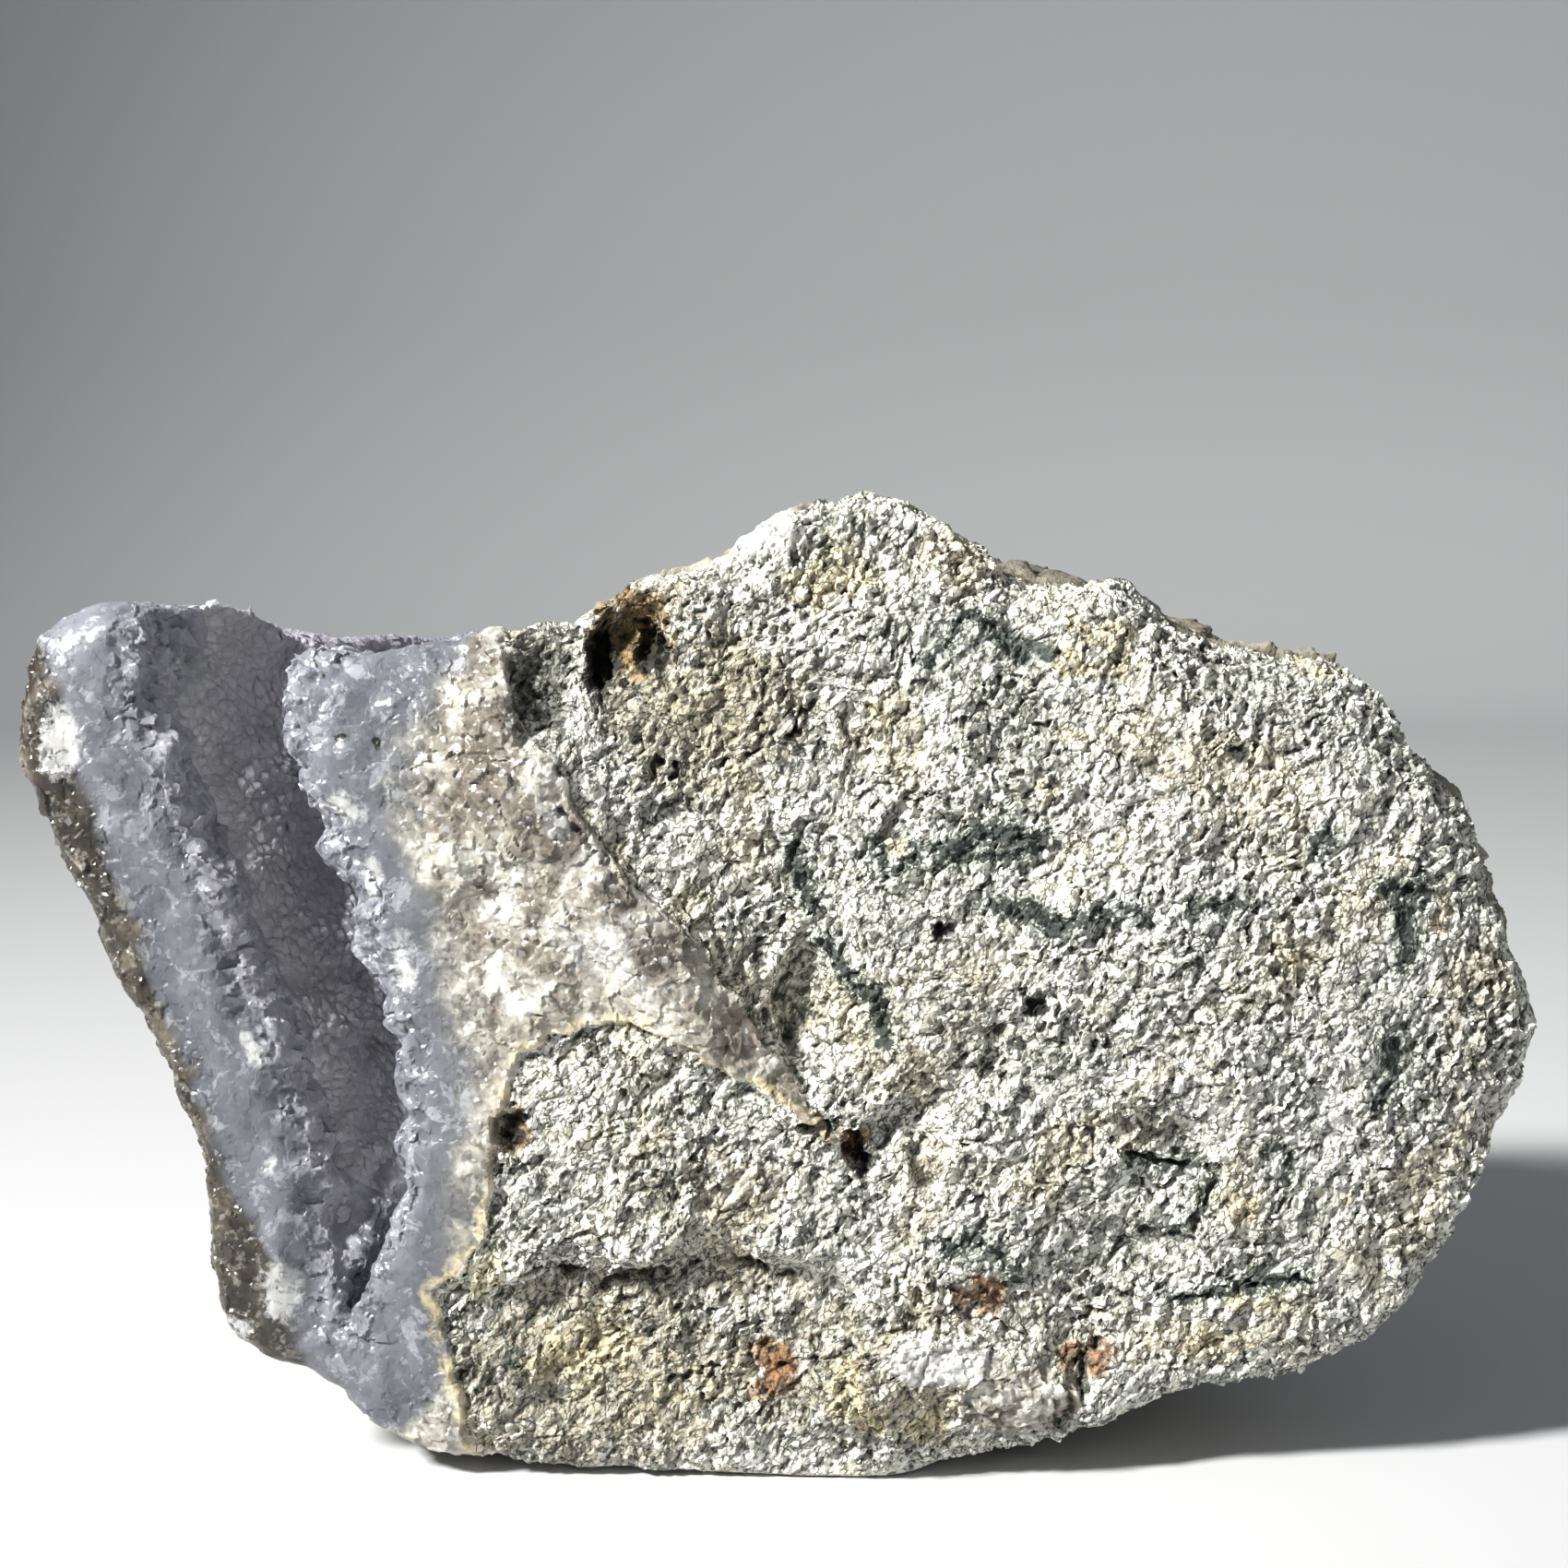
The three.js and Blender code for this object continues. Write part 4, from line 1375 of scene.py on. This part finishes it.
    def parted(self, piece: Piece) -> tuple[Piece, Piece, Piece]:
        """Cuts the stone into its weathered back and the two halves of its face.

        Args:
            piece: The whole stone, which becomes the left half of the face.

        Returns:
            The three closed pieces.
        """
        backwards = Vector((0, 1, -RIM_LEAN)).normalized()
        rim = Vector((0, RIM_DEPTH + self.face_cut, RIM_HEIGHT)) * MM
        side = Vector((self.side_cut, 0, 0)) * MM
        back = linked("stone_back", half_of(piece.data, rim, -backwards))
        piece.data = half_of(piece.data, rim, backwards)
        right = linked("stone_face_right", half_of(piece.data, side, Vector((-1, 0, 0))))
        piece.data = half_of(piece.data, side, Vector((1, 0, 0)))
        return piece, right, back

    def build(self) -> list[Piece]:
        """Makes the stone.

        Returns:
            The finished pieces, which ride on the frame.
        """
        whole = self.fine_mesh()
        mesh = whole.data
        spots = places(mesh)
        resting = smoothstep(0.15, 1.2, spots[:, 2])
        moved = spots + outward(mesh) * (self.relief(spots) * resting)[:, None]
        moved[:, 1] += self.hollow_depth(spots)
        moved += shifted(spots) * resting[:, None]
        moved[:, 2] = np.maximum(moved[:, 2], 0.0)
        put(mesh, moved)
        mark(mesh, "depth", behind_rim(spots))
        # How far each vertex stands above the smoothed surface; the materials paint recesses darker as shade
        mark(mesh, "cavity_shade", ((moved - smoothed(mesh, 26)) * outward(mesh)).sum(axis=1))
        finishes = [finish.build() for finish in (HostRock(), Agate(), Cortex())]
        pieces = self.parted(whole)
        for piece, triangles in zip(pieces, (self.triangles, self.triangles, self.back_triangles)):
            thinned(piece, triangles, self.face_cut)
            for finish in finishes:
                piece.data.materials.append(finish)
            self.stain_and_shade(piece.data)
            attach(piece, "root")
            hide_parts("stone")
        return list(pieces)


@dataclass(frozen=True)
class Paper:
    """Matt studio paper, uncoated: an even pale ground that takes a soft shadow.

    Attributes:
        code: Its colour.
        roughness: Uncoated paper has no shine.
        sheen: How much of a plain plastic's reflection it has.
    """

    name: str = "studio_paper"
    code: str = "#bebfc0"
    roughness: float = 0.95
    sheen: float = 0.1

    def build(self) -> bpy.types.Material:
        """Makes the material.

        Returns:
            The material.
        """
        n = Nodes(bpy.data.materials.new(self.name))
        inputs = {"Base Color": self.code, "Roughness": self.roughness, "Specular IOR Level": self.sheen}
        n.add("OutputMaterial", {"Surface": n.add("BsdfPrincipled", inputs)})
        return n.holder


@dataclass(frozen=True)
class Lamp:
    """A square soft light that faces the stone.

    Attributes:
        azimuth: Its direction, from the camera round to the left, in degrees.
        elevation: Its height above the horizon, in degrees.
        distance: Its distance in metres.
        size: Its width in metres.
        power: Its power in watts.
        code: Its colour.
        spread: Angle of its beam in degrees.
    """

    azimuth: float
    elevation: float
    distance: float
    size: float
    power: float
    code: str
    spread: float = 180.0

    def hang(self, name: str, target: Vector) -> None:
        """Adds the light to the scene.

        Args:
            name: Its name.
            target: What it shines at.
        """
        data = bpy.data.lights.new(name, "AREA")
        data.size = self.size
        data.energy = self.power
        data.color = linear(self.code)[:3]
        data.spread = math.radians(self.spread)
        around, up = math.radians(self.azimuth), math.radians(self.elevation)
        away = Vector((-math.sin(around) * math.cos(up), -math.cos(around) * math.cos(up), math.sin(up)))
        lamp = linked(name, data)
        lamp.location = target + away * self.distance
        lamp.rotation_euler = away.to_track_quat("Z", "Y").to_euler()


@dataclass(frozen=True)
class Studio:
    """A pale sweep of paper, one soft key light, fill from the sky and the camera.

    Attributes:
        sweep_y: How far behind the stone the paper rises, in metres.
        sweep_radius: Radius of its bend.
        sweep_steps: How many flat strips make up the bend.
        half_width: Half its width.
        front: How far it runs towards the camera.
        wall: How high it rises.
        target: What the camera looks at.
        distance: How far away the camera stands.
        elevation: How far it looks down, in degrees.
        lens: Focal length in millimetres.
        sensor: Width of its sensor in millimetres.
        key: The sun-like light, whose narrow beam leaves the backdrop darker than the floor.
        fill: The soft light from the right.
        back: The soft light from behind.
        sky: Colour of the light from all sides.
        sky_strength: How strong it is.
    """

    sweep_y: float = 0.33
    sweep_radius: float = 0.08
    sweep_steps: int = 24
    half_width: float = 1.6
    front: float = 1.6
    wall: float = 1.0
    target: tuple[float, float, float] = (0.0, -0.00435, 0.0535)
    distance: float = 0.24
    elevation: float = 11.0
    lens: float = 66.0
    sensor: float = 36.0
    key: Lamp = Lamp(60.0, 38.0, 0.75, 0.09, 1.95, "#fffefb", 64.0)
    fill: Lamp = Lamp(-70.0, 35.0, 1.1, 0.9, 0.9, "#f6f8ff")
    back: Lamp = Lamp(200.0, 45.0, 1.0, 0.8, 0.8, "#f6f8ff")
    sky: str = "#e4e9ee"
    sky_strength: float = 0.28

    def paper(self) -> None:
        """Makes the floor and the backdrop in one sweep."""
        shape = bmesh.new()
        ends = [shape.verts.new((side * self.half_width, -self.front, 0)) for side in (-1, 1)]

        def drawn(edges: list, way: tuple[float, float, float]) -> tuple[list, list]:
            """Draws a row of edges out.

            Args:
                edges: The row.
                way: How far it goes, in metres.

            Returns:
                The vertices and the edges of the new row.
            """
            made = bmesh.ops.extrude_edge_only(shape, edges=edges)["geom"]
            far = [part for part in made if isinstance(part, bmesh.types.BMVert)]
            bmesh.ops.translate(shape, verts=far, vec=way)
            rows = [part for part in made if isinstance(part, bmesh.types.BMEdge)]
            return far, [row for row in rows if all(end in far for end in row.verts)]

        ends, line = drawn([shape.edges.new(ends)], (0, self.front + self.sweep_y, 0))
        bent = bmesh.ops.spin(
            shape, geom=ends + line, cent=(0, self.sweep_y, self.sweep_radius), axis=(1, 0, 0),
            angle=math.pi / 2, steps=self.sweep_steps, use_merge=False,
        )["geom_last"]
        drawn([part for part in bent if isinstance(part, bmesh.types.BMEdge)], (0, 0, self.wall))
        bmesh.ops.remove_doubles(shape, verts=shape.verts, dist=1e-5)
        sweep = linked("paper_sweep", closed(shape, bpy.data.meshes.new("paper_sweep")))
        sweep.data.polygons.foreach_set("use_smooth", [True] * len(sweep.data.polygons))
        sweep.data.materials.append(Paper().build())

    def camera(self) -> None:
        """Puts up the camera at the photograph's viewing angle."""
        data = bpy.data.cameras.new("camera")
        data.lens = self.lens
        data.sensor_width = self.sensor
        camera = linked("camera", data)
        down = math.radians(self.elevation)
        camera.location = Vector(self.target) + Vector((0, -math.cos(down), math.sin(down))) * self.distance
        camera.rotation_euler = (math.pi / 2 - down, 0, 0)
        bpy.context.scene.camera = camera

    def build(self) -> None:
        """Sets up the whole studio."""
        self.camera()
        self.paper()
        for name, lamp in (("key", self.key), ("fill", self.fill), ("back", self.back)):
            lamp.hang(name, Vector(self.target))
        room = Nodes(bpy.data.worlds.new("room"))
        sky = room.add("Background", {"Color": self.sky, "Strength": self.sky_strength})
        room.add("OutputWorld", {"Surface": sky})
        bpy.context.scene.world = room.holder
        bpy.context.scene.view_settings.view_transform = "Standard"


def report(piece: Piece) -> None:
    """Logs what a finished piece measures."""
    mesh = piece.data
    mesh.calc_loop_triangles()
    LOG.info("%s: %d triangles, %d vertices", piece.name, len(mesh.loop_triangles), len(mesh.vertices))


def main() -> None:
    """Builds the specimen and its studio."""
    logging.basicConfig(level=logging.INFO, format="%(message)s")
    noise.seed_set(NOISE_SEED)
    stone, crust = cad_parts["stone"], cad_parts["druzy_crust"]
    Studio().build()
    druse = Druse(crust, stone)
    for part in (StoneSurface(stone, druse), druse):
        for piece in part.build():
            report(piece)


if __name__ == "__main__":
    main()
